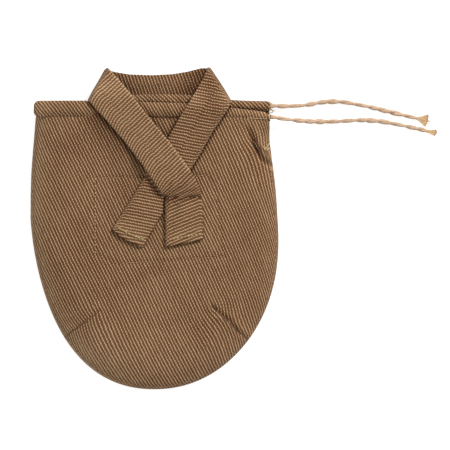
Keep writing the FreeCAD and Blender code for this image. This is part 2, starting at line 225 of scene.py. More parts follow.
def twill_material():
    """Ribbed twill: light, rope-like ribs between dark grooves, in the cloth's own coordinates.
    The mesh attribute 'cloth' holds millimetres across the ribs, along them, and painted light and shade:
    darker below 0, lighter above 0."""
    material, tree, shader = new_material(
        "ribbed_twill", Roughness=0.92, Specular_IOR_Level=0.08, Sheen_Weight=0.04, Sheen_Roughness=0.6)
    place = attribute_vector(tree, "cloth")
    parts = tree.nodes.new("ShaderNodeSeparateXYZ")
    tree.links.new(place, parts.inputs[0])
    across, along, shade = parts.outputs

    def calc(operation, *values):
        return math_node(tree, operation, *values)

    def wave(turns):
        return calc("COSINE", calc("MULTIPLY", turns, 2 * math.pi))

    def centred(value, spread):
        """A value from 0 to 1, spread evenly about zero."""
        return calc("MULTIPLY_ADD", value, spread, -spread / 2)

    wander = noise(tree, place, Scale=0.45, Detail=3.0)
    phase = calc("DIVIDE", calc("ADD", across, centred(wander, RIB_WANDER)), RIB)
    ridge = calc("POWER", calc("MULTIPLY_ADD", wave(phase), 0.5, 0.5), RIB_SHARPNESS)

    # each rib has its own chance value, which sets its tone and where its yarn's turns start
    white = tree.nodes.new("ShaderNodeTexWhiteNoise")
    white.noise_dimensions = "1D"
    tree.links.new(calc("FLOOR", calc("ADD", phase, 0.5)), white.inputs["W"])
    chance = white.outputs["Value"]
    turns = calc("MULTIPLY_ADD", along, 1 / BEAD_PITCH, calc("MULTIPLY", phase, 0.8))
    beads = wave(calc("ADD", turns, chance))

    grain = noise(tree, place, Scale=2.6, Detail=4.0, Roughness=0.7)
    patches = noise(tree, place, Scale=0.09, Detail=3.0)
    tone = calc("ADD", calc("MULTIPLY", calc("MULTIPLY_ADD", ridge, 0.3, 0.06), beads), ridge)
    for value, spread in ((grain, 1.7), (patches, 0.3), (chance, 0.12)):
        tone = calc("ADD", tone, centred(value, spread))
    # only painted shade makes the grooves darker than their own colour
    tone = calc("ADD", calc("MAXIMUM", tone, 0.0), shade)
    tone_range = TONE_HIGH - TONE_LOW
    tone = calc("MULTIPLY_ADD", tone, 1 / tone_range, -TONE_LOW / tone_range)
    colour_by(tree, shader, tone, TWILL_COLOURS)

    height = calc("MULTIPLY_ADD", beads, 0.12, ridge)
    height = calc("MULTIPLY_ADD", grain, 0.35, height)
    add_bump(tree, shader, height, 0.9, 0.0003)
    return material


def jute_material(name, dark, light):
    """Jute with streaks along its strands, between a dark and a light colour."""
    material, tree, shader = new_material(name, Roughness=0.85, Specular_IOR_Level=0.2, Sheen_Weight=0.2)
    streaks = node(tree, "ShaderNodeMapping", Scale=(2.2, 2.2, 0.25))
    tree.links.new(attribute_vector(tree, "lay"), streaks.inputs["Vector"])
    fibres = noise(tree, streaks.outputs["Vector"], Scale=2.2, Detail=5.0, Roughness=0.65)
    colour_by(tree, shader, fibres, [(0.34, dark), (0.72, light)])
    add_bump(tree, shader, fibres, 0.8, 0.0002)
    return material


def thread_material(name, dark, light):
    """Sewing thread with a fine, uneven colour."""
    material, tree, shader = new_material(name, Roughness=0.6, Sheen_Weight=0.1)
    place = tree.nodes.new("ShaderNodeTexCoord")
    twist = noise(tree, place.outputs["Object"], Scale=2500.0, Detail=2.0)
    colour_by(tree, shader, twist, [(0.35, dark), (0.65, light)])
    add_bump(tree, shader, twist, 0.5, 0.0001)
    return material


TWILL = twill_material()
JUTE = jute_material("jute_twine", (168, 120, 78), (234, 214, 190))
# paler than the twine: partly the frayed fibres' own lighter colour, partly painted light against the shade
# the crowded fibres cast on each other
JUTE_FIBRE = jute_material("jute_fibre", (210, 165, 115), (248, 222, 180))
BROWN_THREAD = thread_material("brown_thread", (104, 70, 42), (158, 124, 88))
DARK_THREAD = thread_material("dark_thread", (34, 25, 20), (72, 52, 40))
TAN_THREAD = thread_material("tan_thread", (140, 108, 74), (184, 154, 118))
OCHRE_THREAD = thread_material("ochre_thread", (146, 120, 70), (196, 172, 116))

# -------- curves and mesh helpers


def through(points):
    """A smooth function y(x) through given points (cubic Hermite, finite-difference slopes)."""
    xs, ys = np.array(points, float).T
    slopes = np.gradient(ys, xs)

    def value(x):
        x = np.clip(np.asarray(x, float), xs[0], xs[-1])
        i = np.clip(np.searchsorted(xs, x, side="right") - 1, 0, len(xs) - 2)
        step = xs[i + 1] - xs[i]
        t = (x - xs[i]) / step
        rise = (2 * t ** 3 - 3 * t ** 2 + 1) * ys[i] + (3 * t ** 2 - 2 * t ** 3) * ys[i + 1]
        bend = (t ** 3 - 2 * t ** 2 + t) * slopes[i] + (t ** 3 - t ** 2) * slopes[i + 1]
        return rise + step * bend

    return value


def smoothstep(value):
    t = np.clip(value, 0, 1)
    return t * t * (3 - 2 * t)


def quarter_round(share):
    """The height of a quarter circle: 0 at 0, and 1 from 1 on."""
    return np.sqrt(1 - (1 - np.clip(share, 0, 1)) ** 2)


def distance_to_line(x, y, points):
    """Distance in plan to a chain of points, and the share of the chain's length at the foot."""
    points = np.array(points, float)
    lengths = np.linalg.norm(np.diff(points, axis=0), axis=1)
    best = np.full(np.shape(x), 1e9)
    share = np.zeros(np.shape(x))
    gone = 0.0
    for start, end, length in zip(points[:-1], points[1:], lengths):
        way = (end - start) / length
        t = np.clip((x - start[0]) * way[0] + (y - start[1]) * way[1], 0, length)
        away = np.hypot(x - start[0] - way[0] * t, y - start[1] - way[1] * t)
        nearer = away < best
        best = np.where(nearer, away, best)
        share = np.where(nearer, (gone + t) / lengths.sum(), share)
        gone += length
    return best, share


def near(x, y, line, reach):
    """1 on a line in plan, fading to 0 at about twice the reach."""
    away, _ = distance_to_line(x, y, line)
    return np.exp(-(away / reach) ** 2)


def inside(x, y, ring):
    """Even-odd test of plan points against a closed ring."""
    ring = np.array(ring, float)
    hit = np.zeros(np.shape(x), bool)
    for (x0, y0), (x1, y1) in zip(ring, np.roll(ring, -1, axis=0)):
        crosses = (y0 > y) != (y1 > y)
        if y1 != y0:
            hit ^= crosses & (x < (x1 - x0) * (y - y0) / (y1 - y0) + x0)
    return hit


def chain_lengths(line):
    """Each point's distance along a chain of points."""
    return np.concatenate([[0], np.cumsum(np.linalg.norm(np.diff(line, axis=0), axis=1))])


def resampled(line, gone, step):
    """The line with points an even step of gone apart, and each new point's gone."""
    at = np.linspace(0, gone[-1], int(gone[-1] / step) + 1)
    return np.stack([np.interp(at, gone, column) for column in line.T], axis=1), at


def even_steps(line, step):
    """The line again, with points an even step apart, and each point's distance along it."""
    return resampled(line, chain_lengths(line), step)


def new_piece(name, points, faces, material, body="pouch"):
    """An object from points in millimetres, riding on a body when one is given."""
    mesh = bpy.data.meshes.new(name)
    mesh.from_pydata((np.asarray(points) * MM).tolist(), [], faces)
    mesh.materials.append(material)
    mesh.shade_smooth()
    mesh.update()
    piece = bpy.data.objects.new(name, mesh)
    scene.collection.objects.link(piece)
    if body:
        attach(piece, body)
    return piece


def set_vectors(piece, name, domain, vectors):
    attribute = piece.data.attributes.new(name, "FLOAT_VECTOR", domain)
    attribute.data.foreach_set("vector", np.asarray(vectors, np.float32).ravel())


def give_thickness(piece, thickness):
    solid = piece.modifiers.new("ply", "SOLIDIFY")
    solid.thickness = thickness * MM
    solid.offset = -1.0


def grid_faces(rows, columns, wrap=False):
    faces = []
    last = columns if wrap else columns - 1
    for i in range(rows - 1):
        for j in range(last):
            k = (j + 1) % columns
            faces.append((i * columns + j, i * columns + k, (i + 1) * columns + k, (i + 1) * columns + j))
    return faces


def tube_faces(rows, sides):
    """Faces of a tube made of rings of points, with both ends closed."""
    last = (rows - 1) * sides
    ends = [tuple(range(sides)), tuple(range(last + sides - 1, last - 1, -1))]
    return grid_faces(rows, sides, wrap=True) + ends


# -------- the drawstring's free ends

# The routes are the CAD tubes' own points, in millimetres.
FRONT_END = [
    (63.8, 61.2, 7.0),
    (76.5, 59.0, 4.2),
    (97.0, 58.4, 1.4),
    (118.0, 60.0, 1.4),
    (137.0, 56.6, 1.4),
    (155.4, 52.3, 1.4),
]
BACK_END = [
    (64.0, 67.4, 2.85),
    (78.5, 66.5, 1.9),
    (97.5, 70.6, 1.4),
    (116.5, 67.3, 1.4),
    (134.3, 62.8, 1.4),
    (151.5, 58.8, 1.4),
]
PULL = 30.0                     # how far the drawstring can be pulled out
PULL_FROM = 57.5                # the cord stretches between here and the casings' open end
PULL_TO = 63.8
TWINE_STEP = 0.45               # from one ring of the twine's mesh to the next
TWIST = 14.0                    # length of one turn of the two plies
PLY_RADIUS = 0.8
PLY_OFFSET = 0.5                # from the twine's middle to a ply's middle
LOWEST = 0.02                   # no fibre goes lower, so that none sinks into the floor


def nurbs_line(name, points):
    """Points along the smooth NURBS line of a route, in millimetres."""
    curve = bpy.data.curves.new(name, "CURVE")
    curve.dimensions = "3D"
    curve.resolution_u = 24
    spline = curve.splines.new("NURBS")
    spline.points.add(len(points) - 1)
    for point, place in zip(spline.points, points):
        point.co = (*(np.array(place) * MM), 1)
    spline.order_u = 3
    spline.use_endpoint_u = True
    holder = bpy.data.objects.new(name, curve)
    scene.collection.objects.link(holder)
    bpy.context.view_layer.update()
    mesh = bpy.data.meshes.new_from_object(holder)
    line = np.array([v.co for v in mesh.vertices]) / MM
    bpy.data.objects.remove(holder)
    bpy.data.curves.remove(curve)
    bpy.data.meshes.remove(mesh)
    return line


def side_vectors(line):
    """Two unit vectors square to the line at each point: level, and upwards."""
    along = np.gradient(line, axis=0)
    along /= np.linalg.norm(along, axis=1)[:, None]
    level = np.cross(along, [0, 0, 1.0])
    level /= np.linalg.norm(level, axis=1)[:, None]
    return level, np.cross(level, along)


class Tubes:
    """Round tubes gathered into one mesh. lay holds the place round and along each tube."""

    def __init__(self):
        self.points = np.zeros((0, 3))
        self.lay = np.zeros((0, 3))
        self.faces = []

    def add(self, line, radius, sides, lay_shift=0.0):
        """Adds one tube round a line; radius may change along it."""
        level, up = side_vectors(line)
        angles = np.linspace(0, 2 * np.pi, sides, endpoint=False)
        cosines, sines = np.cos(angles), np.sin(angles)
        ring = level[:, None] * cosines[:, None] + up[:, None] * sines[:, None]
        body = line[:, None] + ring * np.broadcast_to(radius, len(line))[:, None, None]
        lay = np.broadcast_arrays(cosines + lay_shift, sines, chain_lengths(line)[:, None])
        start = len(self.points)
        self.faces.extend(tuple(start + i for i in face) for face in tube_faces(len(line), sides))
        self.points = np.concatenate([self.points, body.reshape(-1, 3)])
        self.lay = np.concatenate([self.lay, np.stack(lay, axis=-1).reshape(-1, 3)])


def pulled_steps(line, step):
    """Points that are an even step apart once the drawstring is pulled out."""
    fine, _ = even_steps(line, 0.02)
    pulled = fine.copy()
    pulled[:, 0] += PULL * smoothstep((fine[:, 0] - PULL_FROM) / (PULL_TO - PULL_FROM))
    return resampled(fine, chain_lengths(pulled), step)


def add_plies(tubes, line, gone, level, up, fray_length, seed):
    """Two plies that turn round each other unevenly, and come apart towards a frayed end."""
    pace = 1 + 0.22 * np.sin(gone * 0.21 + seed) + 0.12 * np.sin(gone * 0.53 + 2 * seed)
    turned = np.concatenate([[0], np.cumsum((pace[1:] + pace[:-1]) / 2 * np.diff(gone))])
    loosen = smoothstep((gone - (gone[-1] - 1.3 * fray_length)) / max(fray_length, 1e-6))
    plump = 1 + 0.13 * np.sin(gone * 0.19 + seed) + 0.07 * np.sin(gone * 0.5 + 2 * seed)
    for ply in range(2):
        angle = turned * 2 * np.pi / TWIST + ply * np.pi
        away = PLY_OFFSET * plump * (1 - 0.6 * loosen)
        centre = line + level * (np.cos(angle) * away)[:, None] + up * (np.sin(angle) * away)[:, None]
        tubes.add(centre, PLY_RADIUS * plump * (1 - 0.5 * loosen), 12, 3.0 * ply)


def add_frayed_end(tubes, rng, line, level, width, count):
    """Fibres that fan out along a stretch of line."""
    t = np.linspace(0, 1, len(line))
    for index in range(count):
        spread = 2 * (index + rng.uniform(0, 1)) / count - 1
        lift = rng.uniform(0, 1)
        reach = rng.uniform(0.9, 1.0) * (1 - 0.08 * spread ** 2)
        sideways = spread * width * t ** 1.25 + rng.uniform(-0.2, 0.2) * np.sin(t * 3.1)
        root_offset = rng.uniform(-0.7, 0.7)
        path = line[0] + (line - line[0]) * reach
        path = path + level * (root_offset * (1 - t) + sideways)[:, None]
        path[:, 2] += (lift * 1.1 - 0.5) * (1 - 0.2 * t) + 0.1
        path[:, 2] = np.clip(path[:, 2], 0.25, line[:, 2].max() + 0.8)
        tubes.add(path[::3], rng.uniform(0.09, 0.17), 5, rng.uniform(0, 9))


def add_loose_fibres(tubes, rng, line, level, up, count):
    """Short fibres that stand a little off the twine."""
    t = np.linspace(0, 1, 5)[:, None]
    for _ in range(count):
        at = rng.integers(2, len(line) - 3)
        angle = rng.uniform(0, 2 * np.pi)
        length = rng.uniform(0.8, 2.2)
        away = level[at] * np.cos(angle) + up[at] * np.sin(angle)
        along = (line[at + 1] - line[at]) / np.linalg.norm(line[at + 1] - line[at])
        run = along * t * length * rng.choice([-1, 1])
        path = line[at] + away * 1.2 + run + away * (0.55 * t ** 1.5 * rng.uniform(0.2, 1))
        path[:, 2] = np.maximum(path[:, 2], 0.12)
        tubes.add(path, 0.035, 3, rng.uniform(0, 9))


def twine(name, line, body, fray_length=0.0, fray_width=0.0, fibres=0, seed=1):
    """Two twisted plies along a line, with loose fibres and a frayed tip.
    Without a body, it is the cord inside the casings."""
    rng = np.random.default_rng(seed)
    line, gone = even_steps(line, TWINE_STEP) if body else pulled_steps(line, TWINE_STEP)
    level, up = side_vectors(line)
    tubes = Tubes()
    add_plies(tubes, line, gone, level, up, fray_length, seed)
    base = int(np.searchsorted(gone, gone[-1] - fray_length))
    ply_faces = len(tubes.faces)
    add_frayed_end(tubes, rng, line[base:], level[base:], fray_width, fibres)
    fan_faces = len(tubes.faces)
    add_loose_fibres(tubes, rng, line, level, up, int(gone[-1] * 0.9))
    tubes.points[:, 2] = np.maximum(tubes.points[:, 2], LOWEST)
    piece = new_piece(name, tubes.points, tubes.faces, JUTE, body)
    piece.data.materials.append(JUTE_FIBRE)
    for polygon in piece.data.polygons[ply_faces:fan_faces]:
        polygon.material_index = 1
    set_vectors(piece, "lay", "POINT", tubes.lay)
    return piece, line


for label, route, fray, width, fibres, seed in (
    ("drawstring_front_end", FRONT_END, 7.0, 1.7, 80, 3),
    ("drawstring_back_end", BACK_END, 8.0, 4.0, 150, 8),
):
    piece_name = label.replace("drawstring", "twine")
    piece, line = twine(piece_name, nurbs_line(label, route), "drawstring", fray, width, fibres, seed)
    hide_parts(label)
    float(chain_lengths(line)[-1] * MM)

# -------- plan outlines of the pouch

PLAN_STEP = 0.9                 # usual distance between the points of a cloth's mesh
ROUNDNESS = 2.15
LEAN = 2.2
DROP = WIDEST_Y - BOTTOM_Y
MOUTH_Y = 61.0

LEFT_SIDE = through([(5, HALF_WIDTH), (20, 67.8), (30, 67.5), (40, 66.8), (53, 65.7), (61, 65.1)])
RIGHT_SIDE = through([
    (5, HALF_WIDTH), (13, 67.5), (23, 66.7), (30, 65.9), (40, 64.6), (47, 63.7), (61, 63.4)])
STITCH_Y = through([(-66, 61.4), (0, 61.4), (30, 61.0), (50, 59.6), (64, 58.8)])
FRONT_TOP_Y = through([
    (-66, 69.5), (-30, 69.3), (0, 68.5), (20, 67.8), (42, 65.7),
    (50, 64.6), (57, 63.8), (61, 63.0), (64, 61.0)])
BACK_TOP_Y = through([(-66, 68.4), (-38, 68.8), (-22, 72.0), (-8, 73.0), (20, 72.7), (42, 70.1), (64, 69.3)])
BACK_LOW_Y = through([(-66, 62.7), (-20, 64.4), (20, 64.6), (64, 64.6)])
# how high the undersides of the two casings lie, and how tall the casings are
FRONT_LEVEL = through([(-66, 4.9), (-56, 6.4), (-38, 8.9), (0, 9.2), (34, 9.0), (50, 7.2), (64, 5.3)])
FRONT_TALL = 3.5
BACK_LEVEL = through([(-66, 0.9), (64, 0.9)])
BACK_TALL = 3.6
# how far each casing's row of stitches lies above its lower edge
FRONT_ROW_IN = 0.9
BACK_ROW_IN = 1.2
UNDER_CASING = 1.6              # how far the front panel goes on above that edge


def rim():
    """The sewn edge of both panels, from the top left corner down and round to the top right."""
    left = [(-LEFT_SIDE(y), y) for y in np.arange(MOUTH_Y, WIDEST_Y, -PLAN_STEP)]
    turns = np.linspace(np.pi / 2, -np.pi / 2, 300)
    wide = np.sign(turns) * np.abs(np.sin(turns)) ** (2 / ROUNDNESS) * HALF_WIDTH
    depth = np.abs(np.cos(turns)) ** (2 / ROUNDNESS)
    round_part = np.stack([-wide + LEAN * np.sin(np.pi * depth), WIDEST_Y - DROP * depth], axis=1)
    right = [(RIGHT_SIDE(y), y) for y in np.arange(WIDEST_Y + PLAN_STEP, MOUTH_Y, PLAN_STEP)]
    return even_steps(np.concatenate([left, round_part, right]), PLAN_STEP)[0]


RIM = rim()


def rim_share(x, y):
    """0 in the middle of the pouch, 1 on its rim; above the widest line only the sides count."""
    depth = np.clip((WIDEST_Y - y) / DROP, 0, 1.2)
    shifted = x - LEAN * np.sin(np.pi * np.clip(depth, 0, 1))
    low = ((np.abs(shifted) / HALF_WIDTH) ** ROUNDNESS + depth ** ROUNDNESS) ** (1 / ROUNDNESS)
    side = np.where(x < 0, LEFT_SIDE(y), RIGHT_SIDE(y))
    return np.where(y < WIDEST_Y, low, np.abs(x) / side)


# -------- filling an outline with triangles

ROW_PITCH = 0.87                # height of an even triangle, as a share of its side
INSET_CLEAR = 0.93              # how near its own distance from the ring an inset point stays
RING_CLEAR = 0.5                # how far grid points keep inside the last inset, in steps
LINE_CLEAR = 0.45               # how far points keep from a seam line, in steps


def split_edges(points, step, closed=False):
    """The chain again, with each straight run divided into pieces of about one step."""
    points = [np.array(p, float) for p in points]
    pairs = zip(points, points[1:] + points[:1]) if closed else zip(points[:-1], points[1:])
    chain = []
    for start, end in pairs:
        count = max(1, round(float(np.linalg.norm(end - start)) / step))
        chain.extend(start + (end - start) * i / count for i in range(count))
    if not closed:
        chain.append(points[-1])
    return np.array(chain)


def inward_vectors(ring):
    way = np.roll(ring, -1, axis=0) - np.roll(ring, 1, axis=0)
    way /= np.linalg.norm(way, axis=1)[:, None]
    inward = np.stack([-way[:, 1], way[:, 0]], axis=1)
    probe = ring + 0.05 * inward
    return inward if inside(probe[:, 0], probe[:, 1], ring).mean() >= 0.5 else -inward


def staggered_grid(low, high, step):
    """Plan points of even triangles over a box."""
    rows = []
    for number, y in enumerate(np.arange(low[1] + step / 2, high[1], step * ROW_PITCH)):
        xs = np.arange(low[0] + (number % 2) * step / 2, high[0], step)
        rows.append(np.stack([xs, np.full_like(xs, y)], axis=1))
    return np.concatenate(rows)


def fill(ring, lines=(), step=PLAN_STEP, insets=()):
    """Plan points and triangles inside a ring. Lines inside it become edges, for seams and folds."""
    ring = split_edges(ring, step, closed=True)
    lines = [split_edges(line, step) for line in lines]
    points = [ring]
    edges = [(i, (i + 1) % len(ring)) for i in range(len(ring))]
    total = len(ring)
    for line in lines:
        edges += [(total + i, total + i + 1) for i in range(len(line) - 1)]
        points.append(line)
        total += len(line)

    inward = inward_vectors(ring)
    grid = staggered_grid(ring.min(axis=0), ring.max(axis=0), step)
    extra = np.concatenate([ring + inward * inset for inset in insets] + [grid])
    clear = [np.full(len(ring), inset * INSET_CLEAR) for inset in insets]
    clear = np.concatenate(clear + [np.full(len(grid), max(insets, default=0) + step * RING_CLEAR)])
    away, _ = distance_to_line(extra[:, 0], extra[:, 1], np.vstack([ring, ring[:1]]))
    good = inside(extra[:, 0], extra[:, 1], ring) & (away >= clear)
    for line in lines:
        away, _ = distance_to_line(extra[:, 0], extra[:, 1], line)
        good &= away > LINE_CLEAR * step
    points.append(extra[good])

    plan, _, faces, *_ = delaunay_2d_cdt([Vector(p) for p in np.concatenate(points)], edges, [], 1, 1e-5)
    plan = np.array([tuple(p) for p in plan])
    faces = np.array(faces)
    a, b, c = (plan[faces[:, i]] for i in range(3))
    area = (b[:, 0] - a[:, 0]) * (c[:, 1] - a[:, 1]) - (b[:, 1] - a[:, 1]) * (c[:, 0] - a[:, 0])
    faces[area < 0] = faces[area < 0][:, ::-1]
    return plan, faces


def rim_points(faces):
    """True for the points on the outer edge of a triangle mesh."""
    edges = np.sort(np.concatenate([faces[:, [0, 1]], faces[:, [1, 2]], faces[:, [2, 0]]]), axis=1)
    found, uses = np.unique(edges, axis=0, return_counts=True)
    on_rim = np.zeros(faces.max() + 1, bool)
    on_rim[found[uses == 1].ravel()] = True
    return on_rim


def cloth_at_corners(piece, plan, faces, coords):
    """Stores the cloth's own coordinates at each face corner, so that they may jump at a seam."""
    corners = plan[faces]
    centre = corners.mean(axis=1, keepdims=True)
    in_face = corners + (centre - corners) * 0.04
    values = coords(in_face[..., 0], in_face[..., 1])
    set_vectors(piece, "cloth", "CORNER", np.stack(np.broadcast_arrays(*values), axis=-1))


def sheet_piece(name, ring, top, coords, lines=(), step=PLAN_STEP, insets=()):
    """One ply of cloth over an outline: top(x, y) is its upper side."""
    plan, faces = fill(ring, lines, step, insets)
    heights = top(plan[:, 0], plan[:, 1])
    piece = new_piece(name, np.column_stack([plan, heights]), faces.tolist(), TWILL)
    cloth_at_corners(piece, plan, faces, coords)
    give_thickness(piece, CLOTH)
    return piece


FOLD_DROP = 12.5                # how far a strap comes down at a shoulder fold
FOLD_REACH = 2.6                # how far in from the fold it comes down
FOLD_LEVEL = 0.65               # where its middle comes down to
EDGE_ROLL = 0.75                # how far in a tube's round edge reaches, in thicknesses
SHELL_STEP = 0.8
SHELL_INSETS = (0.15, 0.4, 0.8)


def unfolded(coords, ring, line):
    """The same cloth, with the stretch that hangs down at a fold rolled out flat beyond it."""
    line, middle = np.array(line), np.mean(ring, axis=0)
    chord = line[-1] - line[0]
    out = np.array([-chord[1], chord[0]]) / np.linalg.norm(chord)
    if (line.mean(axis=0) - middle) @ out < 0:
        out = -out
    shares = np.linspace(0, 1, 200)
    fall = FOLD_DROP * quarter_round(shares)
    steps = np.hypot(np.diff(fall), np.diff(shares) * FOLD_REACH) - np.diff(shares) * FOLD_REACH
    hanging = np.concatenate([np.cumsum(steps[::-1])[::-1], [0]])

    def changed(x, y):
        from_fold, _ = distance_to_line(x, y, line)
        extra = np.interp(from_fold / FOLD_REACH, shares, hanging)
        return coords(x + out[0] * extra, y + out[1] * extra)

    return changed


def shell_piece(name, ring, middle, thickness, coords, body="pouch", fold=None):
    """A flattened tube of cloth with round edges, closed all round.
    middle(x, y) is the height halfway through it; fold is a line where it turns down."""
    ring = np.array(ring)
    border = np.vstack([ring, ring[:1]])
    if fold is not None:
        coords = unfolded(coords, ring, fold)

    def sides(x, y):
        """Height of the tube's middle, and half its thickness."""
        away, _ = distance_to_line(x, y, border)
        half = quarter_round(away / (EDGE_ROLL * thickness)) * thickness / 2
        centre = middle(x, y)
        if fold is not None:
            from_fold, _ = distance_to_line(x, y, fold)
            centre = FOLD_LEVEL + (centre - FOLD_LEVEL) * quarter_round(from_fold / FOLD_REACH)
        return centre, half

    plan, faces = fill(ring, (), SHELL_STEP, SHELL_INSETS)
    on_rim = rim_points(faces)
    centre, half = sides(plan[:, 0], plan[:, 1])
    half = np.where(on_rim, 0, half)
    count = len(plan)
    lower = np.where(on_rim, np.arange(count), count + np.cumsum(~on_rim) - 1)
    points = np.concatenate([
        np.column_stack([plan, centre + half]),
        np.column_stack([plan, centre - half])[~on_rim],
    ])
    both = np.concatenate([faces, lower[faces][:, ::-1]])
    piece = new_piece(name, points, both.tolist(), TWILL, body)
    cloth_at_corners(piece, points[:, :2], both, coords)

    def top(x, y):
        level, thick = sides(x, y)
        return level + thick

    return piece, top


# -------- ribs in the cloth's own coordinates


def ribs(angle, pitch=RIB, shift=0.0):
    """Cloth coordinates for straight ribs that run at an angle in degrees."""
    slant = math.radians(angle)

    def coords(x, y):
        across = (-x * math.sin(slant) + y * math.cos(slant)) * RIB / pitch + shift
        along = x * math.cos(slant) + y * math.sin(slant)
        return across, along, 0.0 * x

    return coords


def bent(coords, line, reach, lag):
    """The same ribs, slanting another way within reach of a line, such as a rolled border."""

    def changed(x, y):
        across, along, shade = coords(x, y)
        away, _ = distance_to_line(x, y, line)
        return across + lag * np.maximum(reach - away, 0) ** 2 / reach, along, shade

    return changed


def stepped(coords, line, amount):
    """The ribs jump sideways by an amount where the cloth is joined along a line."""
    start, chord = np.array(line[0]), np.array(line[-1]) - line[0]
    across_line = np.array([-chord[1], chord[0]]) / np.linalg.norm(chord)

    def changed(x, y):
        across, along, shade = coords(x, y)
        side = (x - start[0]) * across_line[0] + (y - start[1]) * across_line[1]
        return across + amount * smoothstep(side / 0.5 + 0.5), along, shade

    return changed


def shaded(coords, line, reach, amount):
    """The same cloth, with painted shade (below 0) or painted light (above 0) near a line."""

    def changed(x, y):
        across, along, shade = coords(x, y)
        return across, along, shade + amount * near(x, y, line, reach)

    return changed


def layered(coords, changes):
    """The cloth coordinates after each change in turn: a function, its line and its amounts."""
    for change, *amounts in changes:
        coords = change(coords, *amounts)
    return coords


def taken_in(x, y, tip, mouth, wedge, reach):
    """Where cloth points lay before a dart was sewn: turned away from the seam, on each side."""
    tip, mouth = np.array(tip), np.array(mouth)
    heading = math.atan2(*(mouth - tip)[::-1])
    dx, dy = x - tip[0], y - tip[1]
    far = np.hypot(dx, dy)
    bearing = (np.arctan2(dy, dx) - heading + np.pi) % (2 * np.pi) - np.pi
    share = 1 - smoothstep(np.abs(bearing) / math.radians(110))
    soft = smoothstep((far - 0.5) / 4) * np.exp(-(far / reach) ** 2)
    bearing = bearing + np.sign(bearing) * math.radians(wedge) / 2 * share * soft
    return tip[0] + far * np.cos(bearing + heading), tip[1] + far * np.sin(bearing + heading)


# -------- height maps of what cloth lies on

CELL = 0.5
COLUMNS = np.arange(-72, 72 + CELL, CELL)
LINES = np.arange(-92, 92 + CELL, CELL)
MAP_X, MAP_Y = np.meshgrid(COLUMNS, LINES)


def sample(height_map):
    """A function of plan points from a height map."""

    def value(x, y):
        i = np.clip((x - COLUMNS[0]) / CELL, 0, len(COLUMNS) - 1.001)
        j = np.clip((y - LINES[0]) / CELL, 0, len(LINES) - 1.001)
        i0, j0 = i.astype(int), j.astype(int)
        u, v = i - i0, j - j0
        low = height_map[j0, i0] * (1 - u) + height_map[j0, i0 + 1] * u
        high = height_map[j0 + 1, i0] * (1 - u) + height_map[j0 + 1, i0 + 1] * u
        return low * (1 - v) + high * v

    return value


def blurred(height_map, width):
    reach = int(3 * width / CELL)
    weights = np.exp(-0.5 * (np.arange(-reach, reach + 1) * CELL / width) ** 2)
    weights /= weights.sum()
    for axis in (0, 1):
        pad = [(reach, reach) if a == axis else (0, 0) for a in (0, 1)]
        padded = np.pad(height_map, pad, mode="edge")
        size = height_map.shape[axis]
        height_map = sum(w * np.take(padded, range(k, k + size), axis=axis) for k, w in enumerate(weights))
    return height_map


def widened(height_map, reach):
    """The highest value within reach of each cell, tested at every other cell."""
    steps = int(reach / CELL)
    result = height_map.copy()
    for i in range(-steps, steps + 1):
        for j in range(-steps, steps + 1):
            if i * i + j * j <= steps * steps and (i + j) % 2 == 0:
                result = np.maximum(result, np.roll(height_map, (i, j), axis=(0, 1)))
    return result


def stiff_drape(height_map, reach, width):
    """How stiff cloth lies over a height map: on its highest places, and smoothly between."""
    return blurred(widened(height_map, reach), width)


def raised(height_map, where, top):
    """The height map, raised to a cloth's upper side where that cloth is."""
    return np.where(where, np.maximum(height_map, top(MAP_X, MAP_Y)), height_map)


def on_map(ring):
    return inside(MAP_X, MAP_Y, ring)


# -------- the front panel

PILLOW = through([(0, 0.9), (0.5, 2.4), (1.4, 3.9), (5, 7.0), (14, 9.9), (26, CROWN), (68, CROWN)])
LEFT_DART = [(-47.5, -58.6), (-41.5, -54.4), (-36, -50.2), (-30, -45.1)]
RIGHT_DART = [(52.2, -61.8), (47.0, -57.0), (43.6, -53.2), (40.6, -49.4), (36.0, -46.0), (32.0, -43.0)]
# each dart's line, the depth and width of its seam, and the height and place of the swell beside it
DARTS = [(LEFT_DART, 0.5, 0.45, 0.35, 2.0), (RIGHT_DART, 0.6, 0.5, 0.5, 2.2)]
RIGHT_TIP_FOLDS = [
    [(34.0, -44.0), (31.2, -41.4), (29.0, -38.2)],
    [(35.6, -47.2), (31.5, -46.4), (28.0, -47.4)],
]
STRAP_RIDGE = [(-27, 62), (-16, 50), (-4, 34)]
PUCKER = [
    (50.6, 57.0), (52.6, 52.5), (54.3, 48.4), (55.5, 44.4),
    (57.0, 41.4), (59.4, 37.6), (62.2, 35.6), (65.2, 34.4)]
TACK_FOLD = [(58.8, 45.6), (61.4, 41.6), (64.8, 38.6)]
PATCH = [(-32, 27.5), (30, 29), (34, 22), (38.5, -15.5), (-20, -19.3), (-32, -14)]
PATCH_RING = PATCH + PATCH[:1]
SLIT_TOP_Y = 47.0
CASING_COVER = 2.8              # how far the panel rises above the casing's underside at the mouth
LOWEST_PANEL = 0.85


def dent(x, y, line, depth, width):
    return -depth * near(x, y, line, width)


def faded_dent(x, y, line, depth, width, fade_from):
    """A dent that is deepest at the line's start and gone at its end."""
    _, share = distance_to_line(x, y, line)
    return dent(x, y, line, depth, width) * (1 - smoothstep((share - fade_from) / (1 - fade_from)))


def mid_dent(x, y, line, depth, width):
    """A dent that is deepest halfway along the line and gone at both ends."""
    _, share = distance_to_line(x, y, line)
    return dent(x, y, line, depth, width) * np.sin(np.pi * np.clip(share, 0, 1)) ** 0.8


def ripples(x, y):
    """Slow, soft unevenness of stuffed-flat cloth."""
    return (
        0.28 * np.sin(0.11 * x + 0.05 * y + 0.6)
        + 0.24 * np.sin(0.07 * y - 0.09 * x + 2.1)
        + 0.12 * np.sin(0.21 * x - 0.16 * y)
    )


